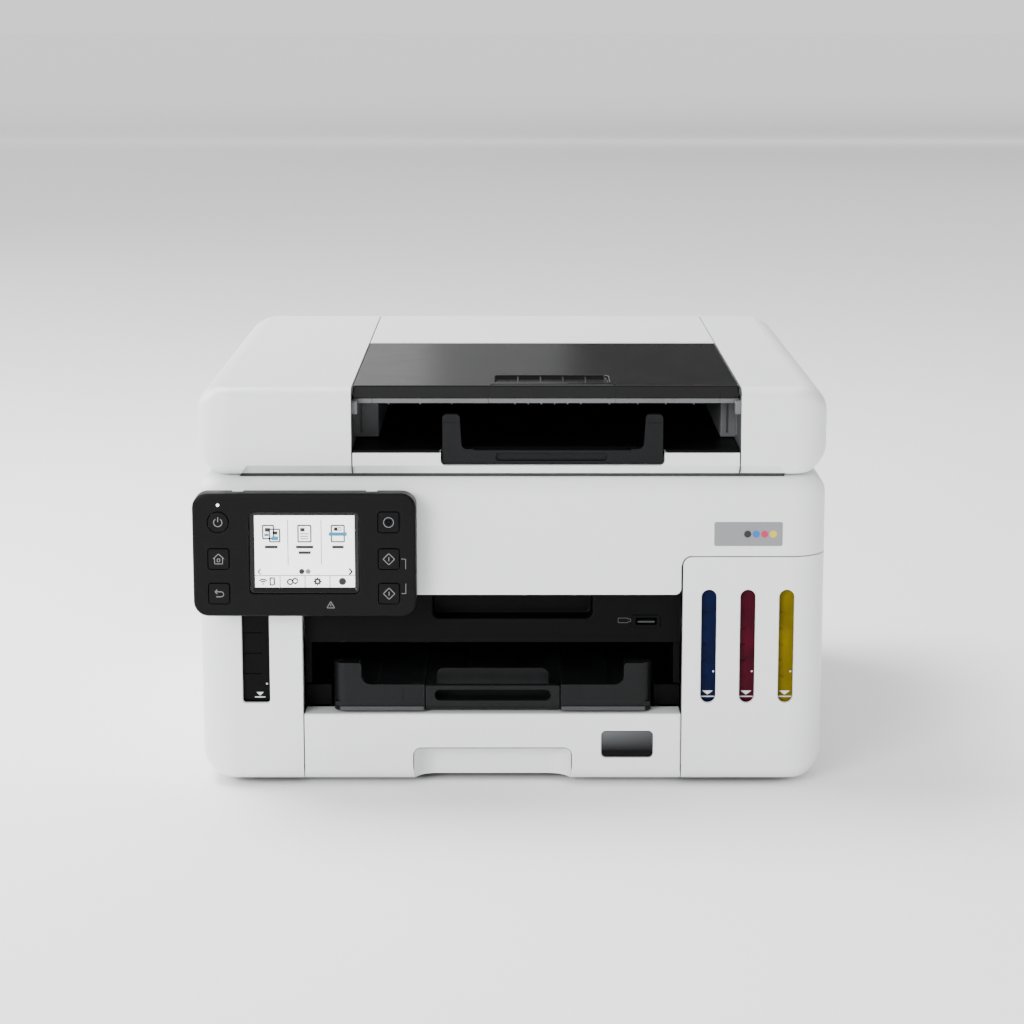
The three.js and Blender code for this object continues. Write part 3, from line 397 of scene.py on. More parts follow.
def ground_rubber():
    """Ground rubber: so rough that it stays dark and shows no highlight, with a pale bloom."""
    material, place = new_material("ground_rubber")
    bloom = add(material, "ShaderNodeTexNoise", {"Vector": place, "Scale": 1 / (6 * MM), "Detail": 3.0})
    grit = add(material, "ShaderNodeTexNoise", {"Vector": place, "Scale": 1 / (0.5 * MM), "Detail": 2.0})
    tone = add(material, "ShaderNodeMix", {"Factor": bloom.outputs["Fac"], "A": linear("1d1d1e"),
                                           "B": linear("2b2b2c")}, data_type="RGBA")
    relief = add(material, "ShaderNodeBump",
                 {"Height": grit.outputs["Fac"], "Distance": 0.06 * MM, "Strength": 0.6})
    shader = add(material, "ShaderNodeBsdfPrincipled",
                 {"Base Color": result(tone), "Roughness": 0.82, "Normal": relief.outputs["Normal"]})
    return surface(material, shader)


def float_glass():
    """Float glass: clear with a green tinge, and nearly a mirror at a low angle."""
    material, place = new_material("float_glass")
    wave = add(material, "ShaderNodeTexNoise", {"Vector": place, "Scale": 1 / (60 * MM)})
    roughness = add(material, "ShaderNodeMapRange",
                    {"Value": wave.outputs["Fac"], "To Min": 0.01, "To Max": 0.03})
    shader = add(material, "ShaderNodeBsdfPrincipled",
                 {"Base Color": linear("dfeeea"), "Roughness": result(roughness), "IOR": 1.52,
                  "Transmission Weight": 0.92})
    return surface(material, shader)


def backed_foam():
    """White foam: matt, with fine cells that break up the light."""
    material, place = new_material("foam_backed_sheet")
    cells = add(material, "ShaderNodeTexVoronoi", {"Vector": place, "Scale": 1 / (0.9 * MM)})
    tone = add(material, "ShaderNodeMix", {"Factor": cells.outputs["Distance"], "A": linear("f4f4f2"),
                                           "B": linear("e6e6e3")}, data_type="RGBA")
    relief = add(material, "ShaderNodeBump",
                 {"Height": cells.outputs["Distance"], "Distance": 0.08 * MM, "Strength": 0.4})
    shader = add(material, "ShaderNodeBsdfPrincipled",
                 {"Base Color": result(tone), "Roughness": 0.7, "Normal": relief.outputs["Normal"],
                  "Sheen Weight": 0.1})
    return surface(material, shader)


ZINC = zinc_steel()
RUBBER = ground_rubber()
GLASS = float_glass()
FOAM = backed_foam()
print("metal, rubber, glass and foam ready")

# %% [markdown]
# ### Circuit board with its metal sockets
# The board and its sockets are one body in the frame, so one material tells them apart by depth:
# what stands off the board towards +x is plated metal, and the board itself is solder mask over
# copper tracks, drawn as a brick pattern of fine traces.

# %% Board, display, ink and print
def solder_mask():
    """Green lacquer over copper traces, and plated metal for what stands off the board."""
    material, place = new_material("solder_mask_and_sockets")
    where = add(material, "ShaderNodeSeparateXYZ", {"Vector": place})
    board_face = span("main_board")[0].x + 1.9
    socket = add(material, "ShaderNodeMath", {0: where.outputs["X"], 1: board_face * MM},
                 operation="GREATER_THAN")
    tracks = add(material, "ShaderNodeTexBrick",
                 {"Vector": place, "Scale": 1 / (9 * MM), "Mortar Size": 0.04, "Color1": linear("14512f"),
                  "Color2": linear("1b6339"), "Mortar": linear("2f8a55")})
    tone = add(material, "ShaderNodeMix", {"Factor": socket.outputs[0], "A": tracks.outputs["Color"],
                                           "B": linear("a9adb0")}, data_type="RGBA")
    shader = add(material, "ShaderNodeBsdfPrincipled",
                 {"Base Color": result(tone), "Metallic": socket.outputs[0], "Roughness": 0.38})
    return surface(material, shader)


def ink_in_tank(name, code, deep):
    """Ink seen through the clear wall of its tank, its tone varied between two colours by a slow noise."""
    material, place = new_material(name)
    swirl = add(material, "ShaderNodeTexNoise", {"Vector": place, "Scale": 1 / (14 * MM), "Detail": 3.0})
    tone = add(material, "ShaderNodeMix", {"Factor": swirl.outputs["Fac"], "A": linear(code),
                                           "B": linear(deep)}, data_type="RGBA")
    wall = add(material, "ShaderNodeTexNoise", {"Vector": place, "Scale": 1 / (3 * MM)})
    relief = add(material, "ShaderNodeBump",
                 {"Height": wall.outputs["Fac"], "Distance": 0.05 * MM, "Strength": 0.5})
    shader = add(material, "ShaderNodeBsdfPrincipled",
                 {"Base Color": result(tone), "Roughness": 0.3, "Normal": relief.outputs["Normal"],
                  "Specular IOR Level": 0.06})
    return surface(material, shader)


def lit_display(name, code, glow):
    """A liquid-crystal display's lit face: it glows evenly, with a fine grid between its cells."""
    material, place = new_material(name)
    where = add(material, "ShaderNodeMapping", {"Vector": place, "Rotation": (math.radians(90), 0, 0)})
    cells = add(material, "ShaderNodeTexBrick",
                 {"Vector": where.outputs["Vector"], "Scale": 1 / (0.5 * MM), "Mortar Size": 0.02,
                  "Brick Width": 1.0, "Row Height": 1.0, "Color1": linear(code), "Color2": linear(code),
                  "Mortar": linear("e2e3e4")}, offset=0.0)
    shader = add(material, "ShaderNodeBsdfPrincipled",
                 {"Base Color": cells.outputs["Color"], "Roughness": 0.18,
                  "Emission Color": cells.outputs["Color"], "Emission Strength": glow})
    return surface(material, shader)


def tinted_window():
    """A tinted pane with painted light: pale at the top and left, fading to black at the lower right."""
    material, place = new_material("tinted_window_over_paper")
    low, high = span("cassette_window")
    turned = add(material, "ShaderNodeSeparateXYZ", {"Vector": place})
    depth = add(material, "ShaderNodeMapRange",
                {"Value": turned.outputs["Z"], "From Min": (low.z + 4) * MM, "From Max": high.z * MM})
    side = add(material, "ShaderNodeMapRange",
               {"Value": turned.outputs["X"], "From Min": low.x * MM, "From Max": high.x * MM,
                "To Min": 1.0, "To Max": 0.6})
    light = add(material, "ShaderNodeMath", {0: result(depth), 1: result(side)}, operation="MULTIPLY")
    # Painted light: the mix runs from black to pale grey as the pane rises and nears its left edge.
    tone = add(material, "ShaderNodeMix", {"Factor": light.outputs[0], "A": linear("030304"),
                                           "B": linear("5a5c5e")}, data_type="RGBA")
    shader = add(material, "ShaderNodeBsdfPrincipled",
                 {"Base Color": result(tone), "Roughness": 0.12, "Specular IOR Level": 0.1})
    return surface(material, shader)


def pad_print(name, code, roughness=0.5):
    """Pad-printed ink: a thin film whose coverage varies a little."""
    material, place = new_material(name)
    film = add(material, "ShaderNodeTexNoise", {"Vector": place, "Scale": 1 / (1.2 * MM), "Detail": 2.0})
    cover = add(material, "ShaderNodeMapRange", {"Value": film.outputs["Fac"], "To Min": 0.9, "To Max": 1.0})
    tone = add(material, "ShaderNodeMix", {"Factor": result(cover), "A": linear("202021"), "B": linear(code)},
               data_type="RGBA")
    shader = add(material, "ShaderNodeBsdfPrincipled", {"Base Color": result(tone), "Roughness": roughness})
    return surface(material, shader)


BOARD = solder_mask()
INKS = {"black": ink_in_tank("black_ink_in_tank", "060607", "030303"),
        "cyan": ink_in_tank("cyan_ink_in_tank", "02103c", "010514"),
        "magenta": ink_in_tank("magenta_ink_in_tank", "4c031b", "1c010a"),
        "yellow": ink_in_tank("yellow_ink_in_tank", "7c6b02", "463c01")}
WINDOW = tinted_window()
DISPLAY = lit_display("lit_display", "f8f9fa", 1.1)
PRINTS = {"white": pad_print("white_pad_print", "d2d3d4"), "grey": pad_print("grey_pad_print", "6f7173"),
          "dim": pad_print("dim_pad_print", "3c3d3e"),
          "dark": pad_print("dark_pad_print", "060607"), "pale": pad_print("pale_pad_print", "c9cbcd"),
          "red": pad_print("red_pad_print", "c2384a"), "teal": pad_print("teal_pad_print", "0b7ea8"),
          "cyan": pad_print("cyan_pad_print", "0f5fae"), "magenta": pad_print("magenta_pad_print", "b0134f"),
          "yellow": pad_print("yellow_pad_print", "cdb315")}
LAMP = lit_display("status_lamp", "ffffff", 2.0)
print(len(bpy.data.materials), "materials")

# %% [markdown]
# ## The form of the casing
# Seen from the front, the lid and the lower casing have generous corners, but their long front
# edges are tighter. One loft gives both: round the plan outline the edge radius changes smoothly
# from its front value to its side value, and every section leans in along the outline's normal.

# %% Casing form
def plan_points(steps=14):
    """Points round the plan with their outward normals and how much each faces sideways."""
    points = []
    side, front, rear = HALF_WIDTH - PLAN_RADIUS, PLAN_RADIUS, DEPTH - PLAN_RADIUS
    corners = [(side, front, -90), (side, rear, 0), (-side, rear, 90), (-side, front, 180)]
    for x, y, start in corners:
        for i in range(steps + 1):
            angle = math.radians(start + 90 * i / steps)
            normal = Vector((math.cos(angle), math.sin(angle)))
            sideways = abs(normal.x) ** 2
            blend = sideways * sideways * (3 - 2 * sideways)
            points.append((Vector((x, y)) + PLAN_RADIUS * normal, normal, blend))
    return points


def casing_form(inset, low, high, bottom, top, steps=9):
    """bottom and top are (front radius, side radius) of the lower and upper edges."""
    angles = [math.radians(90 * i / steps) for i in range(steps + 1)]
    sections = []
    for radii, sign, order in ((bottom, 1, angles), (top, -1, angles[::-1])):
        for angle in order:
            section = []
            for place, normal, blend in plan_points():
                radius = radii[0] + (radii[1] - radii[0]) * blend - inset
                lean = inset + radius * (1 - math.sin(angle))
                level = (low if sign > 0 else high) + sign * radius * (1 - math.cos(angle))
                section.append((*(place - lean * normal), level))
            sections.append(section)
    return loft(sections)


LOWER_EDGES = (8, 16), (12, 13)    # (front, side) radii of the bottom edge, then of the top edge
LID_EDGES = (5, 16), (8, 17)


def lower_form(inset=0.0):
    return casing_form(inset, BOTTOM + inset, SCANNER_TOP - inset, *LOWER_EDGES)


def lid_form(inset=0.0):
    return casing_form(inset, LID_BOTTOM + inset, TOP - inset, *LID_EDGES)


def underside(inset, z):
    """The flat area of the underside that is left open in a shell."""
    side, front = HALF_WIDTH - 16 - inset, 7 + inset
    return block((-side, side), (front, DEPTH - front), z, 17, 0.01)


trial = lower_form()
print("casing form:", len(trial.data.vertices), "points")
bpy.data.objects.remove(trial)

# %% [markdown]
# ## Side covers with their ink windows
# The two lower covers are thin mouldings that wrap the corners of the machine. Each starts as the
# casing's form, is hollowed, trimmed at its joints and pierced by the windows. The window tools
# have flared mouths, so the windows get the soft rim that a moulded opening has.

# %% Side covers
def lower_shell():
    hollow = lower_form(WALL)
    return cut(lower_form(), hollow, underside(WALL, (BOTTOM - 5, BOTTOM + 20)))


COLOUR_TANKS = {ink: centre_x("ink_tank_" + ink) for ink in ("cyan", "magenta", "yellow")}
BLACK_TANK = centre_x("ink_tank_black")
WINDOW_LOW, WINDOW_HIGH = 55.9, 129.8
COLOUR_WINDOW, BLACK_WINDOW = 9.6, 17.4
SOCKETS = {"power_inlet": ((-176, -152), (20, 36)), "network": ((-184, -168), (100, 114)),
           "computer": ((-184, -171), (78, 90))}


def rear_clearance():
    return slab((-HALF_WIDTH - 1, HALF_WIDTH + 1), (DEPTH - 12, DEPTH + 1), (SEAM - 2.2, SEAM + 5))


def left_cover():
    shell = common(lower_shell(), slab((-HALF_WIDTH - 1, BAY_LEFT - 0.2), (-1, DEPTH + 1), (0, SEAM - 0.4)))
    window = hole((BLACK_TANK - BLACK_WINDOW / 2, BLACK_TANK + BLACK_WINDOW / 2), (WINDOW_LOW, WINDOW_HIGH),
                  0, 6, 2.0, 0.9)
    rear = [hole((x0 - 1, x1 + 1), (z0 - 1, z1 + 1), DEPTH, DEPTH - 10, 1.5, 0.5)
            for (x0, x1), (z0, z1) in SOCKETS.values()]
    made = cut(shell, rear_clearance(), window, *rear)
    return finish(made, "left_cover_shell", "chassis", WHITE_ABS, ["left_cover"], 0.35)


def corner_tool(x, z, radius, depth=40):
    """Rounds off an upper left corner at (x, z)."""
    points = [(x - 1, z + 1), (x - 1, z - radius)] + arc(x + radius, z - radius, radius, 180, 90, 8) + [
        (x + radius, z + 1)]
    return prism(points[::-1], -1, depth)


def right_cover():
    shell = common(lower_shell(), slab((BAY_RIGHT + 0.2, HALF_WIDTH + 1), (-1, DEPTH + 1), (0, SEAM - 0.4)))
    windows = [hole((x - COLOUR_WINDOW / 2, x + COLOUR_WINDOW / 2), (WINDOW_LOW, WINDOW_HIGH), 0, 6,
                    COLOUR_WINDOW / 2, 0.9) for x in COLOUR_TANKS.values()]
    low, high = span("maintenance_cartridge")
    bay = hole((low.x - 1.4, high.x + 1.4), (low.z - 1.4, high.z + 1.4), DEPTH, DEPTH - 10, 1.5, 0.4)
    made = cut(shell, rear_clearance(), corner_tool(BAY_RIGHT + 0.2, SEAM - 0.4, 5.5), bay, *windows)
    return finish(made, "right_cover_shell", "chassis", WHITE_ABS, ["right_cover"], 0.35)


left_cover()
right_cover()

# %% [markdown]
# ## The scanner unit
# The scanner's housing sits on the lower casing across a 0.8 mm seam and hangs down in front as a
# skirt. Its lower right corner is a concave fillet that follows the rounded corner of the right
# cover. The bed's opening has a softened rim, because documents are slid across it.

# %% Scanner housing
HOUSING_LOW = SEAM + 0.4
HINGE_Y, HINGE_Z = DEPTH - 4, SEAM + 4
LID_HINGE_Y, LID_HINGE_Z = DEPTH - 8, LID_BOTTOM + 9
PANEL_HINGE_Y, PANEL_HINGE_Z = -8, 190
LID_HINGE_X = (-164, 164)
PANEL_HINGE_X = (-172, -88)
FRAME_X = (span("left_frame")[0].x + 6, span("right_frame")[0].x + 6)
GLASS_LOW, GLASS_HIGH = span("platen_glass")


def lid_post(x):
    post = slab((x - 10, x + 10), (LID_HINGE_Y - 4.5, LID_HINGE_Y + 4.5), (SCANNER_TOP - 4, LID_HINGE_Z))
    barrel = rod((LID_HINGE_Y, LID_HINGE_Z), 4.5, x - 10, x + 10)
    pin = rod((LID_HINGE_Y, LID_HINGE_Z), 2.5, x - 14, x + 14)
    return [post, barrel, pin]


def hinge_ears(x):
    plates = [slab((x0, x0 + 4), (DEPTH - 23, DEPTH - 2), (HOUSING_LOW, HINGE_Z + 8))
              for x0 in (x - 6, x + 4.7)]
    return plates, rod((HINGE_Y, HINGE_Z), 3.5, x - 8, x + 10.7)


def scanner_housing():
    wide = (-HALF_WIDTH - 1, HALF_WIDTH + 1)
    shell = common(cut(lower_form(), lower_form(WALL)), slab(wide, (-1, DEPTH + 1), (HOUSING_LOW, TOP)))
    floor = common(lower_form(), slab((-198, 198), (1, DEPTH - 1), (HOUSING_LOW, HOUSING_LOW + 2.4)))
    right = BAY_RIGHT - 1
    skirt = block((BAY_LEFT + 1, right), (0, WALL), (126.6, 160), (4, 1), 0.6, "Y")
    centre_z = SEAM - 5.9
    corner = prism([(right - 1, SEAM + 2), (right - 1, centre_z)] + arc(114.2, centre_z, 6.5, 180, 90, 10)
                   + [(114.2, SEAM + 2)], 0, WALL)
    body = join(shell, floor, skirt, corner)
    window = hole((GLASS_LOW.x - GAP, GLASS_HIGH.x + GAP), (GLASS_LOW.y - GAP, GLASS_HIGH.y + GAP),
                  SCANNER_TOP, SCANNER_TOP - 5, 1, 0.5, "Z")
    notches = [slab((x - 2.2, x + 4.9), (DEPTH - 21, DEPTH + 1), (SEAM - 5, HINGE_Z + 12)) for x in FRAME_X]
    cut(body, window, *notches)
    for x in FRAME_X:
        plates, bearing = hinge_ears(x)
        join(body, *plates)
        cut(body, bearing)
    for x in LID_HINGE_X:
        join(body, *lid_post(x))
    for x in PANEL_HINGE_X:
        join(body, slab((x - 3, x + 3), (PANEL_HINGE_Y, WALL), (PANEL_HINGE_Z - 3, PANEL_HINGE_Z + 3)),
             rod((PANEL_HINGE_Y, PANEL_HINGE_Z), 3, x - 3, x + 3))
    rib = slab((FEEDER_CENTRE - 2, FEEDER_CENTRE + 2), (30, 384), (HOUSING_LOW + 1, 175.6))
    join(body, rib)
    return finish(body, "scanner_housing_shell", "scanner_unit", WHITE_ABS, ["scanner_housing"], 0.35)


scanner_housing()

# %% [markdown]
# ### Platen glass and scan bar
# The glass lies in the bed with a white printed border under its edges, which hides the glue. The
# scan bar under it is a black carrier with a long narrow pocket in its top.

# %% Platen glass and scan bar
def platen_glass():
    low, high = GLASS_LOW, GLASS_HIGH
    pane = block_over(low, high, 0.8, 0.3)
    finish(pane, "platen_glass_pane", "scanner_unit", GLASS, ["platen_glass"])
    border = block((low.x, high.x), (low.y, high.y), (low.z - 0.5, low.z - 0.2), 0.8, 0.05)
    cut(border, slab((low.x + 8, high.x - 5), (low.y + 12, high.y - 26), (low.z - 2, low.z + 2)))
    finish(border, "platen_glass_border", "scanner_unit", PRINTS["pale"])


def scan_bar():
    low, high = span("scan_bar")
    body = block((low.x, high.x), (low.y, high.y), (low.z, high.z - 3), 1.5, 0.6, "Z")
    top = block((low.x + 12, high.x - 12), (low.y + 6, high.y - 6), (high.z - 4, high.z), 1, 0.4, "Z")
    pocket = hole((low.x + 14, high.x - 14), (high.y - 14.5, high.y - 12.6), high.z - 3, high.z - 4.4,
                  0.8, 0.1, "Z")
    cut(join(body, top), pocket)
    finish(body, "scan_bar_carrier", "scan_bar", BLACK_ABS, ["scan_bar"], 0.2)


platen_glass()
scan_bar()

# %% [markdown]
# ## The lid
# The lid is three covers: a left and a right one that are hollow, and between them a base that
# carries the feeder. The split lines run over the top and down the front, which is how the two
# outer covers are taken off for service. A finger groove runs under the front edge, and its ends
# slope because the tool that forms it is drawn out forwards.

# %% Lid covers
TRAY_AXIS, COVER_AXIS = (226, 256.5), (397.5, 253.5)
FEEDER_ROLLER = (262, 246)
NOTCH_LEFT, NOTCH_RIGHT = -44.9, 96.2
BAR_TOP = LID_BOTTOM + 13.9


def lift_groove():
    ends = [[(x - way * lean, y, z) for y, z, lean in ((-1, 202, 2.5), (9, 202, 2.5), (-1, 210.8, -3.5))]
            for x, way in ((-170, 1), (171.5, -1))]
    return loft(ends)


def hinge_relief(x):
    drum = rod((LID_HINGE_Y, LID_HINGE_Z), 12.4, x - 11, x + 11, edge=0.01)
    return [drum, slab((x - 11, x + 11), (LID_HINGE_Y - 6, DEPTH + 1), (LID_BOTTOM - 1, LID_HINGE_Z))]


def pin_holes(x):
    return [rod(place, radius + 0.5, x - 1, x + WALL + 1, edge=0.01)
            for place, radius in ((TRAY_AXIS, 1.2), (COVER_AXIS, 1.2), (FEEDER_ROLLER, 3))]


def lid_side(name, x, wall_x, relief_x, guide_x):
    hollow = lid_form(WALL)
    shell = cut(lid_form(), hollow, underside(WALL, (LID_BOTTOM - 5, LID_BOTTOM + 20)))
    common(shell, slab(x, (-1, DEPTH + 1), (0, TOP + 1)))
    cut(shell, lift_groove(), *hinge_relief(relief_x))
    if name == "lid_right_cover":
        cut(shell, hole((181.9, 182.9), (231, 362), TOP, TOP - 0.8, 0.45, 0.15, "Z"))
    finish(shell, name + "_shell", "lid", WHITE_ABS, [name], 0.35)
    wall = common(lid_form(0.3), slab((wall_x, wall_x + WALL), (3, DEPTH), (LID_BOTTOM + 4.4, TOP - 3.2)))
    face = wall_x if wall_x > 0 else wall_x + WALL
    pocket = block((face - 0.9, face + 0.9), (14, 46), (222, 240), 2, 0.3, "X")
    cut(wall, pocket, *pin_holes(wall_x))
    guide_edges = (0.01, 1.2) if guide_x[0] < 0 else (1.2, 0.01)
    guide = block(guide_x, (50, 229), (220, 246), 1, 0.8, "X", edges=guide_edges)
    rebate = slab((guide_x[0] + 4, guide_x[0] + 5.4), (49, 52), (223, 247))
    arm_x = (wall_x, wall_x + 6.6) if wall_x < 0 else (wall_x - 3.8, wall_x + 2.8)
    arm = block(arm_x, (5, 11.6), (241.5, 250), 1.2, 0.5, "X")
    join(wall, cut(guide, rebate), arm)
    finish(wall, name + "_feeder_wall", "lid", LINER_ABS, edge=0.2)


lid_side("lid_left_cover", (-HALF_WIDTH - 1, FEEDER_LEFT), FEEDER_LEFT - WALL, LID_HINGE_X[0],
         (FEEDER_LEFT - 1, -86))
lid_side("lid_right_cover", (FEEDER_RIGHT, HALF_WIDTH + 1), FEEDER_RIGHT, LID_HINGE_X[1],
         (134.5, FEEDER_RIGHT + 1))

# %% [markdown]
# ### Lid base, pad and feeder floor
# The base shows at the front as two low blocks with a wide notch between them, where the paper
# stopper stands. Behind them lies the black floor on which finished documents come to rest. The
# pad under the lid is foam with a white sheet on it, and it presses the document flat. A dark strip
# in the gap over the scanner unit behind the front edge is a painted shadow, and so are the dark
# strips at the bottom of the two long joints, which make each joint read as one fine line.

# %% Lid base, pad and feeder floor
LID_JOINT = 0.9
LID_SPAN = (FEEDER_LEFT + LID_JOINT, FEEDER_RIGHT - LID_JOINT)


def lid_ear(x):
    outline = rounded(LID_HINGE_Y - 20, LID_HINGE_Y + 4.7, LID_BOTTOM + 0.4, LID_HINGE_Z + 5, 4)
    plate = prism(outline, x, x + 3, "X")
    inside = lid_form(WALL + GAP)
    opening = underside(WALL + GAP, (LID_BOTTOM, LID_BOTTOM + 20))
    bore = rod((LID_HINGE_Y, LID_HINGE_Z), 3, x - 1, x + 4, edge=0.01)
    return cut(common(plate, join(inside, opening)), bore)


def lid_base():
    low, high = LID_BOTTOM + 0.2, LID_BOTTOM + 4
    plug = underside(WALL + GAP, (low, high))
    middle = slab(LID_SPAN, (9, DEPTH - 4), (low, high))
    bar = common(lid_form(), slab(LID_SPAN, (0, 14), (LID_BOTTOM, BAR_TOP)))
    rear = common(lid_form(), slab(LID_SPAN, (DEPTH - 5, DEPTH), (LID_BOTTOM, 245.4)))
    body = join(plug, middle, bar, rear)
    for x in LID_HINGE_X:
        cut(body, *hinge_relief(x))
        join(body, lid_ear(x - 14), lid_ear(x + 11))
    notch = block((NOTCH_LEFT, NOTCH_RIGHT), (-1, 15), (209.9, 236), (3, 0.1), 0.01, "Y")
    pad_low, pad_high = span("document_pad")
    pocket = slab((pad_low.x - GAP, pad_high.x + GAP), (pad_low.y - GAP, pad_high.y + GAP),
                  (LID_BOTTOM - 1, LID_BOTTOM + 1.8))
    slot = slab((FEEDER_CENTRE - 110, FEEDER_CENTRE + 110), (361, 379), (LID_BOTTOM - 1, LID_BOTTOM + 6))
    cut(body, notch, pocket, slot, lift_groove())
    finish(body, "lid_base_body", "lid", WHITE_ABS, ["lid_base"], 0.35)


def document_pad():
    low, high = span("document_pad")
    pad = block_over(low, high, 3, 0.7, "Z")
    pad = finish(pad, "document_pad_foam", "lid", FOAM, ["document_pad"])


def document_floor():
    rear, front = 232, 14.5
    x0, x1 = LID_SPAN
    lip = slab(LID_SPAN, (0.8, 20), (BAR_TOP + 0.3, 219.6))
    floor = prism([(front, 215), (rear, 211), (rear, 214.5), (72, 219.6), (front, 219.6)], x0, x1, "X")
    runners = [slab((x, x + 4), (front, 230), (LID_BOTTOM + 4.3, 215)) for x in (x0, x1 - 4)]
    notch = block((NOTCH_LEFT - 1, NOTCH_RIGHT + 1), (-1, 15.5), (205, 236), (3, 0.1), 0.01, "Y")
    cut(join(lip, floor, *runners), notch)
    return finish(lip, "document_floor_body", "lid", BLACK_ABS, ["document_floor"], 0.3)


def lid_seal():
    """A dark strip in the gap to the scanner unit behind the front edge, as a painted shadow."""
    front, rear, top = 7.6, 11.5, LID_BOTTOM + 0.3
    profile = [(front, SCANNER_TOP - 0.66), (rear, SCANNER_TOP + 0.15), (rear, top), (front, top)]
    finish(prism(profile, -172, 172, "X"), "lid_seal", "lid", RUBBER)


def lid_joint_painted_shadows():
    """Dark strips at the bottom of the two long joints in the lid's top and front bar: painted shadow."""
    for side, x in (("left", FEEDER_LEFT + 0.05), ("right", FEEDER_RIGHT - LID_JOINT + 0.05)):
        sheet = (x, x + LID_JOINT - 0.1)
        top = common(lid_form(0.8), slab(sheet, (2, DEPTH - 2), (TOP - 5, TOP + 1)))
        front = common(lid_form(0.8), slab(sheet, (0, 13), (LID_BOTTOM, BAR_TOP - 0.6)))
        finish(merged([top, front]), f"lid_joint_strip_{side}", "lid", RUBBER)


lid_base()
document_pad()
document_floor()
lid_seal()
lid_joint_painted_shadows()
print("gap under the lid:", LID_BOTTOM - SCANNER_TOP, "mm")

# %% [markdown]
# ## Repeated details with geometry nodes
# A moulding is full of small things that come in rows or rings: ribs, teeth, slots and screws. One
# tree places a template along a line and another places it round a ring. Both are built here with
# named inputs, and each use of a tree is evaluated once and kept as a plain mesh.

# %% Node trees for rows and rings
def tree_with(name, sockets):
    tree = bpy.data.node_groups.new(name, "GeometryNodeTree")
    for label, kind, default in sockets:
        socket = tree.interface.new_socket(label, in_out="INPUT", socket_type=kind)
        if default is not None:
            socket.default_value = default
    tree.interface.new_socket("Geometry", in_out="OUTPUT", socket_type="NodeSocketGeometry")
    return tree, tree.nodes.new("NodeGroupInput"), tree.nodes.new("NodeGroupOutput")


def link_ending(tree, entry, leaving, instances):
    """The ending that both trees share: real geometry with its material."""
    real = tree.nodes.new("GeometryNodeRealizeInstances")
    paint = tree.nodes.new("GeometryNodeSetMaterial")
    tree.links.new(instances.outputs["Instances"], real.inputs["Geometry"])
    tree.links.new(real.outputs["Geometry"], paint.inputs["Geometry"])
    tree.links.new(entry.outputs["Material"], paint.inputs["Material"])
    tree.links.new(paint.outputs["Geometry"], leaving.inputs["Geometry"])


def template_instances(tree, entry, points, rotation=None):
    template = tree.nodes.new("GeometryNodeObjectInfo")
    place = tree.nodes.new("GeometryNodeInstanceOnPoints")
    tree.links.new(entry.outputs["Template"], template.inputs["Object"])
    tree.links.new(template.outputs["Geometry"], place.inputs["Instance"])
    tree.links.new(points, place.inputs["Points"])
    if rotation:
        tree.links.new(rotation, place.inputs["Rotation"])
    return place


def row_tree():
    tree, entry, leaving = tree_with("row_of_parts", [
        ("Template", "NodeSocketObject", None), ("Count", "NodeSocketInt", 5),
        ("Start", "NodeSocketVector", None), ("Step", "NodeSocketVector", None),
        ("Material", "NodeSocketMaterial", None)])
    line = tree.nodes.new("GeometryNodeMeshLine")
    tree.links.new(entry.outputs["Count"], line.inputs["Count"])
    tree.links.new(entry.outputs["Start"], line.inputs["Start Location"])
    tree.links.new(entry.outputs["Step"], line.inputs["Offset"])
    link_ending(tree, entry, leaving, template_instances(tree, entry, line.outputs["Mesh"]))
    return tree


def ring_tree():
    """The template's own +x points outwards, and the ring's axis is z before it is turned."""
    tree, entry, leaving = tree_with("ring_of_parts", [
        ("Template", "NodeSocketObject", None), ("Count", "NodeSocketInt", 24),
        ("Radius", "NodeSocketFloat", 10.0), ("Material", "NodeSocketMaterial", None)])
    circle = tree.nodes.new("GeometryNodeMeshCircle")
    place = tree.nodes.new("GeometryNodeInputPosition")
    outwards = tree.nodes.new("FunctionNodeAlignRotationToVector")
    outwards.axis = "X"
    outwards.pivot_axis = "Z"
    tree.links.new(entry.outputs["Count"], circle.inputs["Vertices"])
    tree.links.new(entry.outputs["Radius"], circle.inputs["Radius"])
    tree.links.new(place.outputs["Position"], outwards.inputs["Vector"])
    link_ending(tree, entry, leaving,
                template_instances(tree, entry, circle.outputs["Mesh"], outwards.outputs["Rotation"]))
    return tree


ROW, RING = row_tree(), ring_tree()


def repeated(tree, template, material, **inputs):
    """The tree's result as a plain mesh in millimetres; the template is used up."""
    holder = bpy.data.objects.new(tree.name, bpy.data.meshes.new(tree.name))
    bpy.context.scene.collection.objects.link(holder)
    step = holder.modifiers.new(tree.name, "NODES")
    step.node_group = tree
    for item in tree.interface.items_tree:
        value = {"Template": template, "Material": material, **inputs}.get(item.name)
        if item.in_out == "INPUT" and value is not None:
            step[item.identifier] = value
    evaluated(holder)
    bpy.data.objects.remove(template)
    return holder


def ring_on_x(made, x, y, z):
    """Turns a ring's axis from z to x and moves it into place."""
    made.data.transform(Matrix.Translation((x, y, z)) @ Matrix.Rotation(math.radians(90), 4, "Y"))
    return made


print("trees:", [tree.name for tree in bpy.data.node_groups])

# %% [markdown]
# ## Document tray
# The tray over the feeder is smooth smoked plastic, so it mirrors the room softly and is the
# darkest part of the top. Its front is a deep, dark edge with a lighter liner below, which is
# stiffened by ribs. A grip pocket with four dividers is sunk in the top near the front, so that
# fingertips can lift it.

# %% Document tray
TRAY_FRONT = 12.5
TRAY_SPLITS = (LID_SPAN[0] + 12, FEEDER_CENTRE - 40, FEEDER_CENTRE + 40, LID_SPAN[1] - 12)
TRAY_SKIN_LOW = 250.9


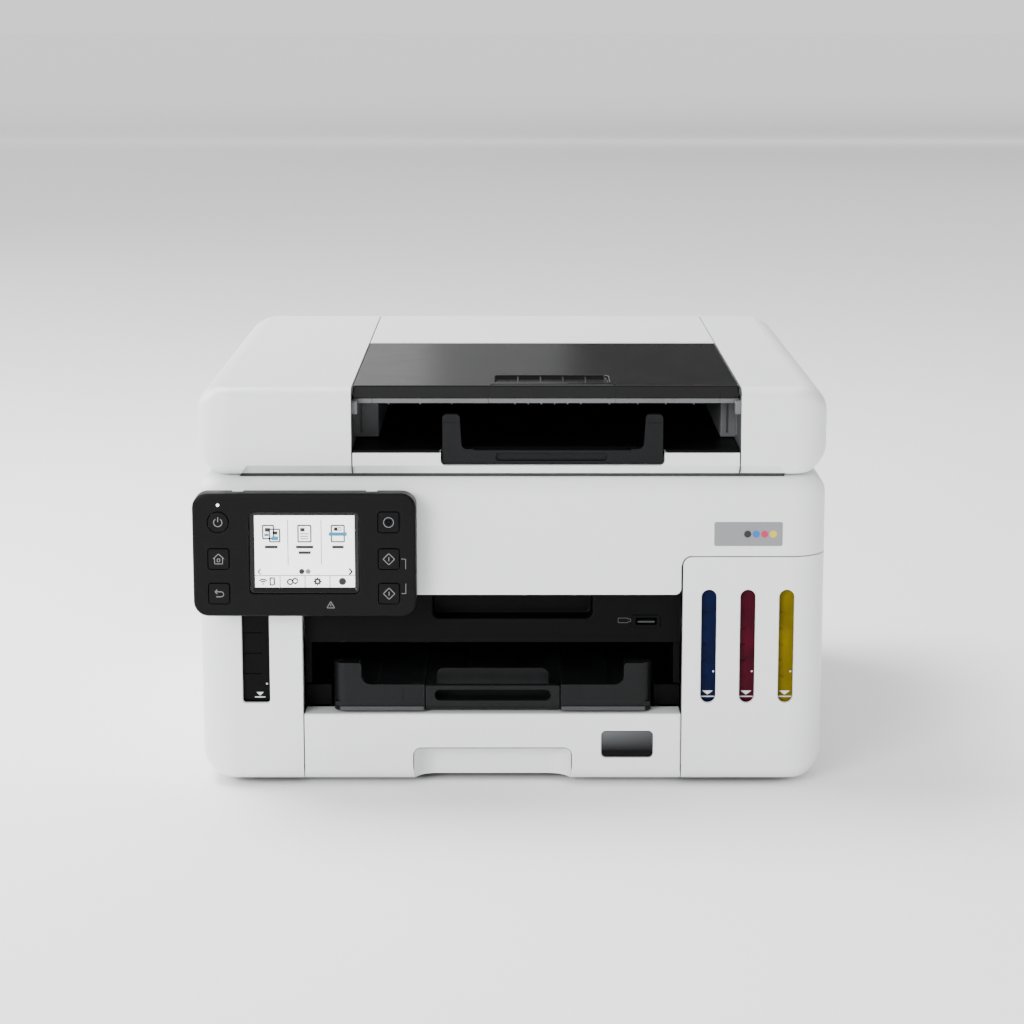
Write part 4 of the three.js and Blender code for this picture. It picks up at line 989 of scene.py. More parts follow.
def document_tray():
    x0, x1 = LID_SPAN
    skin = block(LID_SPAN, (TRAY_FRONT, TRAY_AXIS[0]), (TOP - 3, TOP), 0.6, 0.9, "Z", edges=(0.05, 0.9))
    knuckle = rod(TRAY_AXIS, TOP - TRAY_AXIS[1], x0, x1)
    front = block(LID_SPAN, (TRAY_FRONT, TRAY_FRONT + 2.5), (TRAY_SKIN_LOW, TOP - 0.6), 0.5, 0.3, "X")
    sides = [slab((a, a + 2.5), (TRAY_FRONT + 1, 218), (TRAY_SKIN_LOW, TOP - 2)) for a in (x0, x1 - 2.5)]
    pin = rod(TRAY_AXIS, 1.2, x0 - WALL + 0.2, x1 + WALL - 0.2)
    body = join(skin, knuckle, front, *sides, pin)
    grip = hole((-10.6, 61.9), (27, 61), TOP, TOP - 2.2, 3, 0.8, "Z", floor=0.8)
    lip = block((-13.5, 64.8), (13.4, 20), (TOP - 0.9, TOP + 1), 1.2, 0.2, "Z")
    splits = [slab((x - 0.25, x + 0.25), (TRAY_FRONT - 1, TRAY_FRONT + 0.5), (250, TOP - 2.4))
              for x in TRAY_SPLITS]
    cut(body, grip, lip, *splits)
    finish(body, "document_tray_skin", "document_tray", SMOKED_ABS, ["document_tray"], 0.25)
    divider = block((-0.55, 0.55), (29, 59), (TOP - 2.4, TOP - 0.7), 0.4, 0.2, "Z")
    ridges = repeated(ROW, divider, SMOKED_ABS, Count=4, Start=(3.9, 0, 0), Step=(14.5, 0, 0))
    finish(ridges, "document_tray_dividers", "document_tray", SMOKED_ABS)
    pad = block((-12.9, 64.2), (13.8, 19.6), (TOP - 1.1, TOP - 0.25), 1, 0.2, "Z")
    finish(pad, "document_tray_lip", "document_tray", CHARCOAL_ABS)


def document_tray_liner():
    x0, x1 = LID_SPAN
    liner = slab(LID_SPAN, (TRAY_FRONT, 214), (247.8, 250.7))
    stiffener = slab((x0 + 3, x1 - 3), (211, 214), (250, TOP - 2.9))
    grooves = [slab((x - 0.2, x + 0.2), (TRAY_FRONT - 1, TRAY_FRONT + 0.4), (247, 251))
               for x in TRAY_SPLITS]
    finish(cut(join(liner, stiffener), *grooves), "document_tray_liner", "document_tray", LINER_ABS,
           edge=0.25)
    for count, start, step in ((3, -78, 20), (6, 2, 8.3), (4, 61.6, 17.8)):
        rib = block((-0.45, 0.45), (TRAY_FRONT + 1, 210), (246.8, 248), 0.2, 0.3, "Z")
        ribs = repeated(ROW, rib, LINER_ABS, Count=count, Start=(start, 0, 0), Step=(step, 0, 0))
        finish(ribs, f"document_tray_ribs_{count}", "document_tray", LINER_ABS)


document_tray()
document_tray_liner()

# %% [markdown]
# ### Document stopper
# The stopper is a grey crossbar with two upright posts. Inside, each post runs down into the bar
# with a curve, because a sharp corner would crack there when a stack is pushed against it. It
# slides out forwards on a tongue.

# %% Document stopper
def stopper_post():
    outer, inner = -43.8, -32.5
    bend = arc(inner + 4.2, 223.4, 3.6, 180, 270, 8)
    head = arc(inner - 2.6, 239.6, 2.2, 0, 90, 5) + arc(outer + 2.4, 239.4, 2.4, 90, 180, 5)
    foot = [(outer, 210.6), (inner + 8.4, 210.6), (inner + 8.4, 219.8)]
    return prism(foot + bend[::-1] + [(inner - 0.4, 239.4)] + head, 3, 8.5)


def document_stopper():
    left, right = stopper_post(), stopper_post()
    right.data.transform(Matrix.Translation((51.3, 0, 0)) @ Matrix.Scale(-1, 4, (1, 0, 0)))
    right.data.flip_normals()
    bar = block((-43.8, 95.1), (3, 6.5), (210.6, 219.2), 0.8, 0.4, "Y")
    foot = slab((-43, 94.3), (5, 12), (210.6, 212.4))
    tongue = block((-15, 65), (5, 95), (211, 213.2), 3, 0.3, "Z")
    webs = [slab((x, x + 1.8), (6, 12), (212, 238)) for x in (-42.6, 92.1)]
    body = join(bar, left, right, foot, tongue, *webs)
    grip = hole((-10, 60), (212.6, 217.2), 3, 5.2, 1.8, 0.5)
    tips = [slab((x - 5, x + 5), (2.9, 3.4), (236.5, 237)) for x in (-38, 89.3)]
    cut(body, grip, *tips)
    return finish(body, "document_stopper_body", "document_stopper", CHARCOAL_ABS, ["document_stopper"], 0.35)


document_stopper()

# %% [markdown]
# ### Feeder cover, paper guide and feed roller
# The cover over the feeder is white like the lid and hinges at the rear to clear a jam. Inside, a
# black guide turns the page round, and a shaft carries three ground-rubber rollers.

# %% Feeder
def feeder_cover():
    front = TRAY_AXIS[0] + 3.4
    roof = common(cut(lid_form(), lid_form(WALL)), slab(LID_SPAN, (front, DEPTH + 1), (248, TOP + 1)))
    lip = slab(LID_SPAN, (front, front + 2.5), (251.5, TOP - 1))
    knuckle = rod(COVER_AXIS, 3.2, *LID_SPAN)
    pins = rod(COVER_AXIS, 1.2, LID_SPAN[0] - WALL + 0.2, LID_SPAN[1] + WALL - 0.2)
    finish(join(roof, lip, knuckle, pins), "feeder_cover_shell", "feeder_cover", WHITE_ABS, ["feeder_cover"],
           0.35)


def document_guide():
    outline = [(236, 226), (352, 222), (366, 228), (366, 234), (352, 238), (262, 237), (236, 232)]
    guide = prism(outline, *LID_SPAN, "X")
    finish(guide, "document_guide_body", "lid", BLACK_ABS, ["document_guide"], 0.8)


def rollers_on_shaft(name, body, axis, radius, shaft, ends, drums, gear=None):
    """A steel shaft in the CAD node's place, with rubber drums and, where it is driven, a toothed gear."""
    core = rod(axis, shaft, *ends, edge=0.6)
    finish(core, name + "_shaft", body, ZINC, [name])
    tyres = []
    for x0, x1 in drums:
        tyre = rod(axis, radius, x0, x1, edge=0.8, sides=48)
        tyres.append(cut(tyre, rod(axis, shaft, x0 - 1, x1 + 1, edge=0.01)))
    finish(merged(tyres), name + "_tyres", body, RUBBER)
    if gear:
        gear_x, gear_radius, teeth = gear
        root, width = gear_radius - 1.6, 5
        wheel = cut(rod(axis, root, gear_x, gear_x + width, edge=0.3),
                    rod(axis, shaft, gear_x - 1, gear_x + width + 1, edge=0.01))
        tooth = prism([(-0.7, -0.85), (1.6, -0.4), (1.6, 0.4), (-0.7, 0.85)], -width, 0, "Z")
        crown = repeated(RING, tooth, GREY_POM, Count=teeth, Radius=root)
        ring_on_x(crown, gear_x + width, *axis)
        finish(merged([wheel, crown]), name + "_gear", body, GREY_POM)


feeder_cover()
document_guide()
rollers_on_shaft("document_roller", "document_roller", FEEDER_ROLLER, 8, 3,
                 (FEEDER_LEFT - 2, FEEDER_RIGHT + 2),
                 [(FEEDER_CENTRE + x - 14, FEEDER_CENTRE + x + 14) for x in (-55, 0, 55)])

# %% [markdown]
# ## Control panel
# The panel is a black housing that hangs from two lugs and tilts up. Its face has a fine texture
# with a softly rounded rim. The screen sits 2 mm down, behind sloping sides. A dark plate behind the
# keys closes the housing, so that no light comes through the gaps round them.

# %% Panel housing
PANEL_LOW, PANEL_HIGH = span("panel_housing")
PANEL_FACE = PANEL_LOW.y
SCREEN_LOW, SCREEN_HIGH = span("touch_screen")
BUTTONS = {name: tuple((span(name)[0] + span(name)[1]) / 2) for name in (
    "power_button", "home_button", "back_button", "stop_button", "mono_start_button", "colour_start_button")}
BUTTON_HALF, POWER_RADIUS = 6.4, 6.4


def button_well(name):
    x, _, z = BUTTONS[name]
    half = BUTTON_HALF + GAP
    corner = POWER_RADIUS + GAP if name == "power_button" else 2
    return hole((x - half, x + half), (z - half, z + half), PANEL_FACE, PANEL_FACE + 4, corner, 0.35)


def panel_housing():
    (x0, y0, z0), (x1, y1, z1) = PANEL_LOW, PANEL_HIGH
    body = block((x0, x1), (y0, y1), (z0, z1), 9.5, 0.8, "Y", edges=(1.8, 0.8))
    shoulder = prism([(PANEL_HINGE_Y, z1 + 1), (PANEL_HINGE_Y, z1), (y1 + 1, z1 - 13), (y1 + 1, z1 + 1)],
                     x0 - 1, x1 + 1, "X")
    hollow = slab((x0 + 3, x1 - 3), (y0 + 3, y1 + 1), (z0 + 4, z1 - 13.2))
    low, high = SCREEN_LOW, SCREEN_HIGH
    opening = hole((low.x - GAP, high.x + GAP), (low.z - GAP, high.z + GAP), y0, y0 + 6, 3, 0.5)
    lugs = [slab((x - 3.6, x + 3.6), (PANEL_HINGE_Y - 4, y1 + 1), (PANEL_HINGE_Z - 5, z1 + 1))
            for x in PANEL_HINGE_X]
    wells = [button_well(name) for name in BUTTONS]
    light_well = hole((-184.9, -182.5), (186.9, 189.3), y0, y0 + 1.2, 1.1, 0.1)
    cut(body, shoulder, hollow, opening, *lugs, *wells, light_well)
    finish(body, "panel_housing_shell", "control_panel", PANEL_ABS, ["panel_housing"], 0.25)
    backing = cut(slab((x0 + 4, x1 - 4), (y0 + 5, y0 + 6), (z0 + 5, z1 - 13.6)),
                  slab((low.x - 1, high.x + 1), (y0, y1), (low.z - 1, high.z + 1)))
    finish(backing, "panel_key_backing", "control_panel", BLACK_ABS)
    light = rod((-183.7, 188.1), 0.95, y0 + 0.2, y0 + 1.1, "Y", 0.2, 24)
    finish(light, "panel_status_lamp", "control_panel", LAMP)


panel_housing()

# %% [markdown]
# ### Touch screen
# The bezel slopes from the face down to the display, so it catches a band of light at the bottom.
# The display is a thin lit plate. Its page shows three pictures in a row, a strip of four small
# signs below, and plain bars where a real machine writes words.

# %% Touch screen
DISPLAY_X, DISPLAY_Z = (-161.3, -98.6), (135.2, 181.2)
DISPLAY_Y = SCREEN_LOW.y + 1.6


def touch_screen():
    low, high = SCREEN_LOW, SCREEN_HIGH
    frame_body = block_over(low, high, 2.6, 0.2, "Y")
    slope = 2.6
    mouth = (DISPLAY_X[0] - slope, DISPLAY_X[1] + slope, DISPLAY_Z[0] - slope, DISPLAY_Z[1] + slope)
    sections = [(-0.2, low.y - 1), (0.1, low.y), (slope, DISPLAY_Y), (slope + 0.1, DISPLAY_Y + 0.9)]
    recess = loft([[along("Y", u, v, level) for u, v in rounded(*mouth, 2, inset)]
                   for inset, level in sections])
    finish(cut(frame_body, recess), "touch_screen_bezel", "control_panel", DARK_ACRYLIC, ["touch_screen"],
           0.1)
    plate = block(DISPLAY_X, (DISPLAY_Y, DISPLAY_Y + 0.6), DISPLAY_Z, 0.3, 0.05, "Y")
    finish(plate, "touch_screen_display", "control_panel", DISPLAY)


touch_screen()


def flat(points, y, thickness=0.12):
    """A printed or lit mark: a thin film that stands on the plane at y and faces the front."""
    return prism(points, y - thickness, y)


def dash(x0, x1, z0, z1, y):
    return flat([(x0, z0), (x1, z0), (x1, z1), (x0, z1)], y)


def spot(x, z, radius, y, thickness=0.12):
    return flat(arc(x, z, radius, 0, 345, 23), y, thickness)


def stroke(points, width, y):
    """A stroke of constant width along straight legs."""
    parts = []
    for (x0, z0), (x1, z1) in zip(points, points[1:]):
        way = Vector((x1 - x0, z1 - z0)).normalized() * width / 2
        side = Vector((-way.y, way.x))
        corners = [Vector((x0, z0)) - side, Vector((x1, z1)) - side, Vector((x1, z1)) + side,
                   Vector((x0, z0)) + side]
        parts.append(flat([tuple(c) for c in corners], y))
    return parts


def sweep(x, z, radius, start, end, width, y, steps=14):
    return stroke(arc(x, z, radius, start, end, steps), width, y)


def loop(points, width, y):
    return stroke(points + points[:1], width, y)


def marks(name, body, colour, parts):
    """All the marks of one colour, kept together as one thin printed film."""
    finish(merged(parts), name, body, PRINTS[colour] if isinstance(colour, str) else colour)


def frame_mark(x0, x1, z0, z1, width, y):
    return loop([(x0, z0), (x1, z0), (x1, z1), (x0, z1)], width, y)


def display_page():
    """Three large choices, a row with arrows and page dots, and a strip of four small signs."""
    y = DISPLAY_Y - 0.02
    left, right, low, high = *DISPLAY_X, *DISPLAY_Z
    cell = (right - left) / 3
    middle = (left + right) / 2
    first, second, third = (left + cell * (i + 0.5) for i in range(3))
    foot = low + 7.6
    rules = [dash(left + cell * i - 0.2, left + cell * i + 0.2, foot + 7, high - 3, y) for i in (1, 2)]
    rules += [dash(left + (right - left) * i / 4 - 0.2, left + (right - left) * i / 4 + 0.2, low, foot, y)
              for i in (1, 2, 3)]
    rules += [dash(left, right, foot - 0.2, foot + 0.2, y)]
    rules += stroke([(left + 3.6, 147), (left + 2, 145.3), (left + 3.6, 143.6)], 0.8, y)
    rules += [spot(middle + 2, 145.4, 1.5, y)]
    rules += [dash(second - 2.6, second + 2.4, z, z + 0.6, y) for z in (166, 167.6, 169.2)]
    rules += [dash(third - 2.4, third + 2.4, z, z + 0.6, y) for z in (171.6, 173)]
    marks("display_rules", "control_panel", "grey", rules)
    dark = [dash(x - half, x + half, z, z + 1.7, y) for x, half, z in (
        (first, 4, 160.2), (second, 5.4, 160.2), (second, 3.8, 156.6), (third, 3.6, 160.2))]
    dark += frame_mark(first - 5.2, first + 1.6, 166.4, 174.8, 0.8, y)
    dark += frame_mark(first - 1, first + 5.4, 164.4, 172.4, 0.8, y)
    dark += frame_mark(second - 4, second + 4, 164.4, 174.8, 0.8, y)
    dark += frame_mark(third - 4, third + 4, 164.4, 174.8, 0.8, y)
    dark += [dash(second - 2.6, second + 0.2, 171, 173.2, y), dash(third - 2.4, third - 0.2, 171.4, 173.4, y),
             dash(first - 3.8, first - 0.6, 170.8, 173.2, y), dash(first + 1, first + 4, 169, 171, y)]
    dark += stroke([(right - 3.6, 147.3), (right - 1.8, 145.3), (right - 3.6, 143.3)], 1.0, y)
    dark += [spot(middle - 2, 145.4, 1.7, y)] + display_signs(left, right, low + 3.8, y)
    marks("display_dark_marks", "control_panel", "dark", dark)
    teal = [dash(first + 0.2, first + 4.4, 165.4, 167.8, y - 0.02),
            dash(first - 4.2, first - 1.6, 168, 169.6, y),
            dash(third - 5.6, third + 5.6, 168.2, 170.4, y - 0.02)]
    marks("display_teal_marks", "control_panel", "teal", teal)


def display_signs(left, right, z, y):
    """Wireless and telephone, link, gear and information signs in the strip's four cells."""
    cell = (right - left) / 4
    a, b, c, d = (left + cell * (i + 0.5) for i in range(4))
    signs = [spot(a - 2.8, z - 1.6, 0.5, y)]
    for radius in (1.7, 3):
        signs += sweep(a - 2.8, z - 1.6, radius, 40, 140, 0.8, y, 8)
    signs += frame_mark(a + 1.6, a + 4.2, z - 2.2, z + 2.2, 0.8, y)
    for shift in (-1.6, 1.6):
        signs += sweep(b + shift, z + shift * 0.2, 1.6, 0, 345, 0.9, y, 18)
    signs += sweep(c, z, 1.4, 0, 360, 1.1, y, 20)
    signs += [spot(c + 2.1 * math.cos(t), z + 2.1 * math.sin(t), 0.5, y)
              for t in (math.radians(45 * i) for i in range(8))]
    signs += [spot(d, z, 2.3, y)]
    return signs


display_page()

# %% [markdown]
# ### Buttons and their signs
# Each button is its own key in a close-fitting well. The signs are pad-printed in grey: power,
# house, return arrow, stop, and a diamond for each of the two start keys. A bracket joins the two
# start keys, and a triangle with a bar marks the alarm lamp below the screen.

# %% Buttons
def rhombus(x, z, half):
    return [(x - half, z), (x, z - half), (x + half, z), (x, z + half)]


def button_sign(name, x, z, y):
    if name == "power_button":
        return sweep(x, z - 0.1, 2.6, 125, 415, 0.5, y) + stroke([(x, z + 0.2), (x, z + 3.4)], 0.5, y)
    if name == "home_button":
        roof = stroke([(x - 3.4, z + 0.2), (x, z + 3.3), (x + 3.4, z + 0.2)], 0.45, y)
        walls = stroke([(x - 2.5, z + 0.6), (x - 2.5, z - 3), (x + 2.5, z - 3), (x + 2.5, z + 0.6)], 0.45, y)
        return roof + walls + frame_mark(x - 0.8, x + 0.8, z - 1.6, z + 0.2, 0.4, y)
    if name == "back_button":
        hook = stroke([(x - 2.4, z + 1.2), (x + 1.2, z + 1.2)], 0.5, y)
        hook += sweep(x + 1.2, z - 0.4, 1.6, 90, -90, 0.5, y, 10)
        tail = stroke([(x + 1.2, z - 2), (x - 1.8, z - 2)], 0.5, y)
        return hook + tail + stroke([(x - 1.2, z + 2.6), (x - 2.6, z + 1.2), (x - 1.2, z - 0.2)], 0.5, y)
    if name == "stop_button":
        return sweep(x, z, 3.1, 0, 360, 0.4, y, 24)
    return loop(rhombus(x, z, 3.6), 0.45, y) + stroke([(x, z - 1.3), (x, z + 1.3)], 0.5, y)


def buttons():
    top = PANEL_FACE - 0.4
    for name, (x, _, z) in BUTTONS.items():
        half = BUTTON_HALF
        corner = POWER_RADIUS if name == "power_button" else 1.5
        key = block((x - half, x + half), (top + 0.02, PANEL_FACE + 3), (z - half, z + half), corner, 0.35,
                    "Y")
        finish(key, name + "_key", name, PANEL_ABS, [name])
        sign = button_sign(name, x, z, top + 0.13)
        marks(name + "_sign", name, "grey", sign)
    x, _, z = BUTTONS["stop_button"]
    triangle = loop([(x - 1.7, z + 1.1), (x + 1.7, z + 1.1), (x, z - 1.9)], 0.5, top + 0.14)
    marks("stop_button_triangle", "stop_button", "red", triangle)


def panel_signs():
    y = PANEL_FACE + 0.02
    bracket = stroke([(-69.3, 153.9), (-66.6, 153.9), (-66.6, 147.5)], 0.35, y)
    bracket += stroke([(-69.3, 131.8), (-66.6, 131.8), (-66.6, 138.2)], 0.35, y)
    alarm = loop([(-116.2, 122.6), (-111.4, 122.6), (-113.8, 126.7)], 0.4, y)
    alarm += stroke([(-113.8, 123.6), (-113.8, 125.2)], 0.4, y)
    marks("panel_signs", "control_panel", "grey", bracket + alarm)


buttons()
panel_signs()

# %% [markdown]
# ## The front bay
# Between the two side covers lies a black bay. At its top the fascia carries the recess that
# fingers reach into to lift the scanner unit, and a socket for a memory stick. Below it the paper
# comes out over the tray, between two black cheeks.

# %% Fascia
def front_fascia():
    x0, x1 = BAY_LEFT + GAP, BAY_RIGHT - GAP
    face, port_face = 12, 11.2
    plate = slab((x0, x1), (face, 15), (93, 149))
    recess_box = slab((-52.6, 53.4), (face, 27), (106.9, 135))
    port_box = slab((76.8, 95.2), (face, 29), (102.7, 113.1))
    bezel = block((76.8, 95), (port_face, 13), (102.3, 110.9), 1, 0.5, "Y")
    body = join(plate, recess_box, port_box, bezel)
    recess = hole((-50.6, 51.4), (108.9, 133), face, 25, 4, 1.4, floor=2)
    port = hole((79.4, 92.6), (104.6, 109), port_face, 27, 0.6, 0.5)
    finish(cut(body, recess, port), "front_fascia_body", "chassis", BLACK_ABS, ["front_fascia"], 0.3)
    tongue = block((80.4, 91.6), (13.4, 26), (105.4, 106.6), 0.3, 0.2, "Y")
    finish(tongue, "memory_stick_contacts", "chassis", GREY_POM)
    film = face - 0.02
    stick = frame_mark(68, 74.2, 105.8, 108.8, 0.3, film) + frame_mark(74.2, 76, 106.4, 108.2, 0.3, film)
    marks("memory_stick_sign", "chassis", "dim", stick)


def bay_cheeks():
    for side, x0, x1 in (("left", BAY_LEFT + GAP, BAY_LEFT + 4.8),
                         ("right", BAY_RIGHT - 4.8, BAY_RIGHT - GAP)):
        cheek = block((x0, x1), (15.8, 150), (65, 92.4), 0.6, 0.4, "X")
        finish(cheek, f"bay_cheek_{side}", "chassis", BLACK_ABS)


front_fascia()
bay_cheeks()

# %% [markdown]
# ### Output tray and its extension
# The tray is charcoal grey. Its two front posts are tall and rounded, and they fall in a curve to
# a low wall. The middle of the wall belongs to the extension, which pulls out by a long slot. A
# raised stop stands behind the wall.

# %% Output tray
TRAY_CENTRE = centre_x("output_tray")
TRAY_HALF, TRAY_Y = 101.8, 3
POST_WIDTH = 17.8
EXTENSION_HALF = 43
POST_TOP, LOW_WALL_TOP = span("output_tray")[1].z, 67.2


def tray_wall():
    """The front wall's outline: post, curve down to the low wall, and the mirror of it."""
    a, b = TRAY_HALF, TRAY_HALF - POST_WIDTH
    right = ([(b, 50), (a, 50), (a, POST_TOP - 1.6)] + arc(a - 1.6, POST_TOP - 1.6, 1.6, 0, 90, 5)
             + arc(b + 2, POST_TOP - 2, 2, 90, 180, 5)
             + arc(b - 6, LOW_WALL_TOP + 6, 6, 0, -90, 8))
    left = [(-u, v) for u, v in reversed(right)]
    return prism([(TRAY_CENTRE + u, v) for u, v in right + left], 0, 40)


def output_tray():
    c = TRAY_CENTRE
    plan = block((c - TRAY_HALF, c + TRAY_HALF), (TRAY_Y, TRAY_Y + 60), (49.9, POST_TOP + 1), 8, 0.01, "Z")
    low_tray = slab((c - TRAY_HALF - 1, c + TRAY_HALF + 1), (TRAY_Y - 1, TRAY_Y + 12), (50, POST_TOP))
    wall = common(common(plan, low_tray), tray_wall())
    inner = TRAY_HALF - POST_WIDTH
    cut(wall, block((c - inner, c + inner), (TRAY_Y + WALL, 60), (56, 100), 3, 0.01, "Z"))
    floor = slab((c - TRAY_HALF + 1, c + TRAY_HALF - 1), (TRAY_Y + 0.5, 178), (53.5, 56))
    body = join(wall, floor)
    room = EXTENSION_HALF + 0.6
    notch = slab((c - room, c + room), (TRAY_Y - 1, TRAY_Y + 6), (0, 100))
    slot = slab((c - room, c + room), (TRAY_Y - 1, 200), (0, 53.4))
    splits = [slab((x - 0.35, x + 0.35), (TRAY_Y - 1, TRAY_Y + 0.5), (49, 100)) for x in (-69.6, 44.6)]
    lower_lip = slab((c - TRAY_HALF - 1, c + TRAY_HALF + 1), (TRAY_Y - 1, TRAY_Y + 0.4), (53.2, 53.8))
    cut(body, notch, slot, lower_lip, *splits)
    finish(body, "output_tray_body", "output_tray", CHARCOAL_ABS, ["output_tray"], 0.5)
    # Painted highlight: the forward, rounded lips are a lighter grey than the tray.
    for side, x0, x1 in (("left", c - TRAY_HALF + 4, c - room - GAP),
                         ("right", c + room + GAP, c + TRAY_HALF - 4)):
        lip = block((x0, x1), (TRAY_Y - 0.8, TRAY_Y + 0.6), (50.1, 53.1), 0.6, 0.6, "Y")
        finish(lip, f"output_tray_lip_{side}", "output_tray", GREY_POM)
    stop = block((-49, 24), (20, 23.5), (55.5, 74), (0.5, 5), 0.8, "Y")
    shelf = block((-49, 24), (20, 40), (55.5, 66), 0.6, 0.5, "Y")
    slots = [slab((x - 0.3, x + 0.3), (19, 20.6), (60, 80)) for x in (-13, 10)]
    finish(cut(join(stop, shelf), *slots), "output_tray_stop", "output_tray", CHARCOAL_ABS, edge=0.3)
    rib = block((-1, 1), (26, 172), (55.8, 57), 0.4, 0.5, "Z")
    ribs = repeated(ROW, rib, CHARCOAL_ABS, Count=6, Start=(c - 75, 0, 0), Step=(30, 0, 0))
    finish(ribs, "output_tray_ribs", "output_tray", CHARCOAL_ABS)


def output_extension():
    c = TRAY_CENTRE
    plate = slab((c - EXTENSION_HALF + 4, c + EXTENSION_HALF - 4), (TRAY_Y + 2, 150), (50, 52.8))
    face = block((c - EXTENSION_HALF, c + EXTENSION_HALF), (TRAY_Y - 0.5, TRAY_Y + 4.5),
                 (50, LOW_WALL_TOP - 0.4), 0.8, 0.6, "Y")
    grip = block((c - 37.2, c + 37.2), (TRAY_Y - 2, TRAY_Y + 8), (56.8, 64), 3.5, 0.01, "Y")
    middle = slab((c - 0.3, c + 0.3), (TRAY_Y - 1, TRAY_Y), (49, 70))
    shade = slab((c - EXTENSION_HALF - 1, c + EXTENSION_HALF + 1), (TRAY_Y - 1, TRAY_Y + 3.6), (49, 53.2))
    finish(cut(join(plate, face), grip, middle, shade), "output_extension_body", "output_extension",
           CHARCOAL_ABS, ["output_extension"], 0.4)


output_tray()
output_extension()

# %% [markdown]
# ### Paper cassette
# The cassette's front closes the bay below the tray and follows the casing's lower edge. Its top
# edge is lightly chamfered, and a wide notch at the bottom is the grip. A tinted window shows the
# paper level; its pane carries painted light, pale at the top and left and fading to black below.
# Behind the front, the bin carries three guides that slide against the stack.

# %% Cassette
CASSETTE_X = (BAY_LEFT + GAP, BAY_RIGHT - GAP)
CASSETTE_TOP = span("cassette_front")[1].z
NOTCH = (-62.9, 37.9, 25.8, 17)
LEVEL_LOW, LEVEL_HIGH = span("cassette_window")


def cassette_front():
    x0, x1 = CASSETTE_X
    face = block((x0, x1), (-0.02, 19), (0, CASSETTE_TOP), (0.5, 1), 0.8, "Y", edges=(1.6, 0.2))
    body = common(lower_form(), face)
    left, right, top, depth = NOTCH
    notch = common(block((left, right), (-14, depth), (-20, top), 14, 0.01, "Z"),
                   block((left, right), (-1, depth), (-20, top), (0.1, 4), 0.01, "Y"))
    flare = hole((left + 0.6, right - 0.6), (-20, top - 0.6), 0, 1.5, 4, 1.2)
    level = hole((LEVEL_LOW.x - GAP, LEVEL_HIGH.x + GAP), (LEVEL_LOW.z - GAP, LEVEL_HIGH.z + GAP),
                 0, 3, 3, 0.5)
    pockets = [slab(ends, (5, 20), (BOTTOM + 6, CASSETTE_TOP - 3))
               for ends in ((x0 + 3, left - 3), (right + 3, x1 - 3))]
    cut(body, notch, flare, level, *pockets)
    finish(body, "cassette_front_shell", "cassette", WHITE_ABS, ["cassette_front"], 0.3)
    low, high = LEVEL_LOW, LEVEL_HIGH
    pane = block_over(low, high, 2.7, 0.4, "Y")
    finish(pane, "cassette_window_pane", "cassette", WINDOW, ["cassette_window"])


def cassette_bin():
    low, high = span("cassette_bin")
    body = block_over(low, high, 3, 0.6, "Z")
    inside = block((low.x + 2, high.x - 2), (low.y + 2, high.y - 2), (low.z + 2.4, high.z + 2), 2, 0.6, "Z")
    low_rear = slab((low.x + 30, high.x - 30), (high.y - 10, high.y + 1), (high.z - 16, high.z + 1))
    cut(body, inside, low_rear)
    finish(body, "cassette_bin_body", "cassette", GREY_POM, ["cassette_bin"], 0.3)
    rib = block((-0.7, 0.7), (low.y + 4, high.y - 4), (low.z + 2.2, low.z + 2.7), 0.3, 0.2, "Z")
    ribs = repeated(ROW, rib, GREY_POM, Count=7, Start=(low.x + 28, 0, 0), Step=(30, 0, 0))
    finish(ribs, "cassette_bin_ribs", "cassette", GREY_POM)


def paper_guide(name, along_x):
    """An upright plate on a foot."""
    low, high = span(name)
    thick = 2
    if along_x:
        plate = block((low.x, high.x), (high.y - thick, high.y), (low.z, high.z), 2, 0.4, "Y")
        foot = block(((low.x + high.x) / 2 - 12, (low.x + high.x) / 2 + 12), (low.y, high.y - 0.5),
                     (low.z, low.z + 2), 2, 0.4, "Z")
    else:
        right = name.endswith("right")
        wall_x = (high.x - thick, high.x) if right else (low.x, low.x + thick)
        plate = block(wall_x, (low.y, high.y), (low.z, high.z), 2, 0.4, "X")
        middle = (low.y + high.y) / 2
        foot_x = (low.x, high.x - 0.5) if right else (low.x + 0.5, high.x)
        foot = block(foot_x, (middle - 12, middle + 12), (low.z, low.z + 2), 2, 0.4, "Z")
    finish(join(plate, foot), name + "_body", name, GREY_POM, [name], 0.2)


cassette_front()
cassette_bin()
paper_guide("paper_guide_right", False)
paper_guide("paper_guide_left", False)
paper_guide("paper_guide_rear", True)

# %% [markdown]
# ## Ink tanks
# The tanks stand behind the windows of the side covers. Their clear fronts carry moulded level
# ribs, and the lowest level is printed: a dot, then a triangle that points at a line. Each tank
# has a filler spout with a hinged cap under the scanner unit.

# %% Ink tanks
TANKS = {"black": BLACK_TANK, **COLOUR_TANKS}
TANK_FRONT = span("ink_tank_black")[0].y
CAP_AXIS = (83, 136.5)
SPOUT_Y = 75


def ink_tank(ink, x):
    low, high = span("ink_tank_" + ink)
    top = 133
    body = block((low.x, high.x), (low.y, high.y), (low.z, top), 3, 1, "Z")
    spout = rod((x, SPOUT_Y), 5.5, top - 1, top + 1.6, "Z", 0.3)
    lugs = [block((a, a + 1.6), (CAP_AXIS[0] - 2.4, CAP_AXIS[0] + 2.4), (top - 1, high.z), 0.6, 0.1, "X")
            for a in (x - 10.8, x + 9.2)]
    join(body, spout, *lugs)
    cut(body, rod(CAP_AXIS, 1.6, x - 12, x + 12, edge=0.01),
        rod((x, SPOUT_Y), 3.6, top + 0.4, top + 3, "Z", 0.01))
    finish(body, f"ink_tank_{ink}_body", "chassis", INKS[ink], ["ink_tank_" + ink], 0.3)


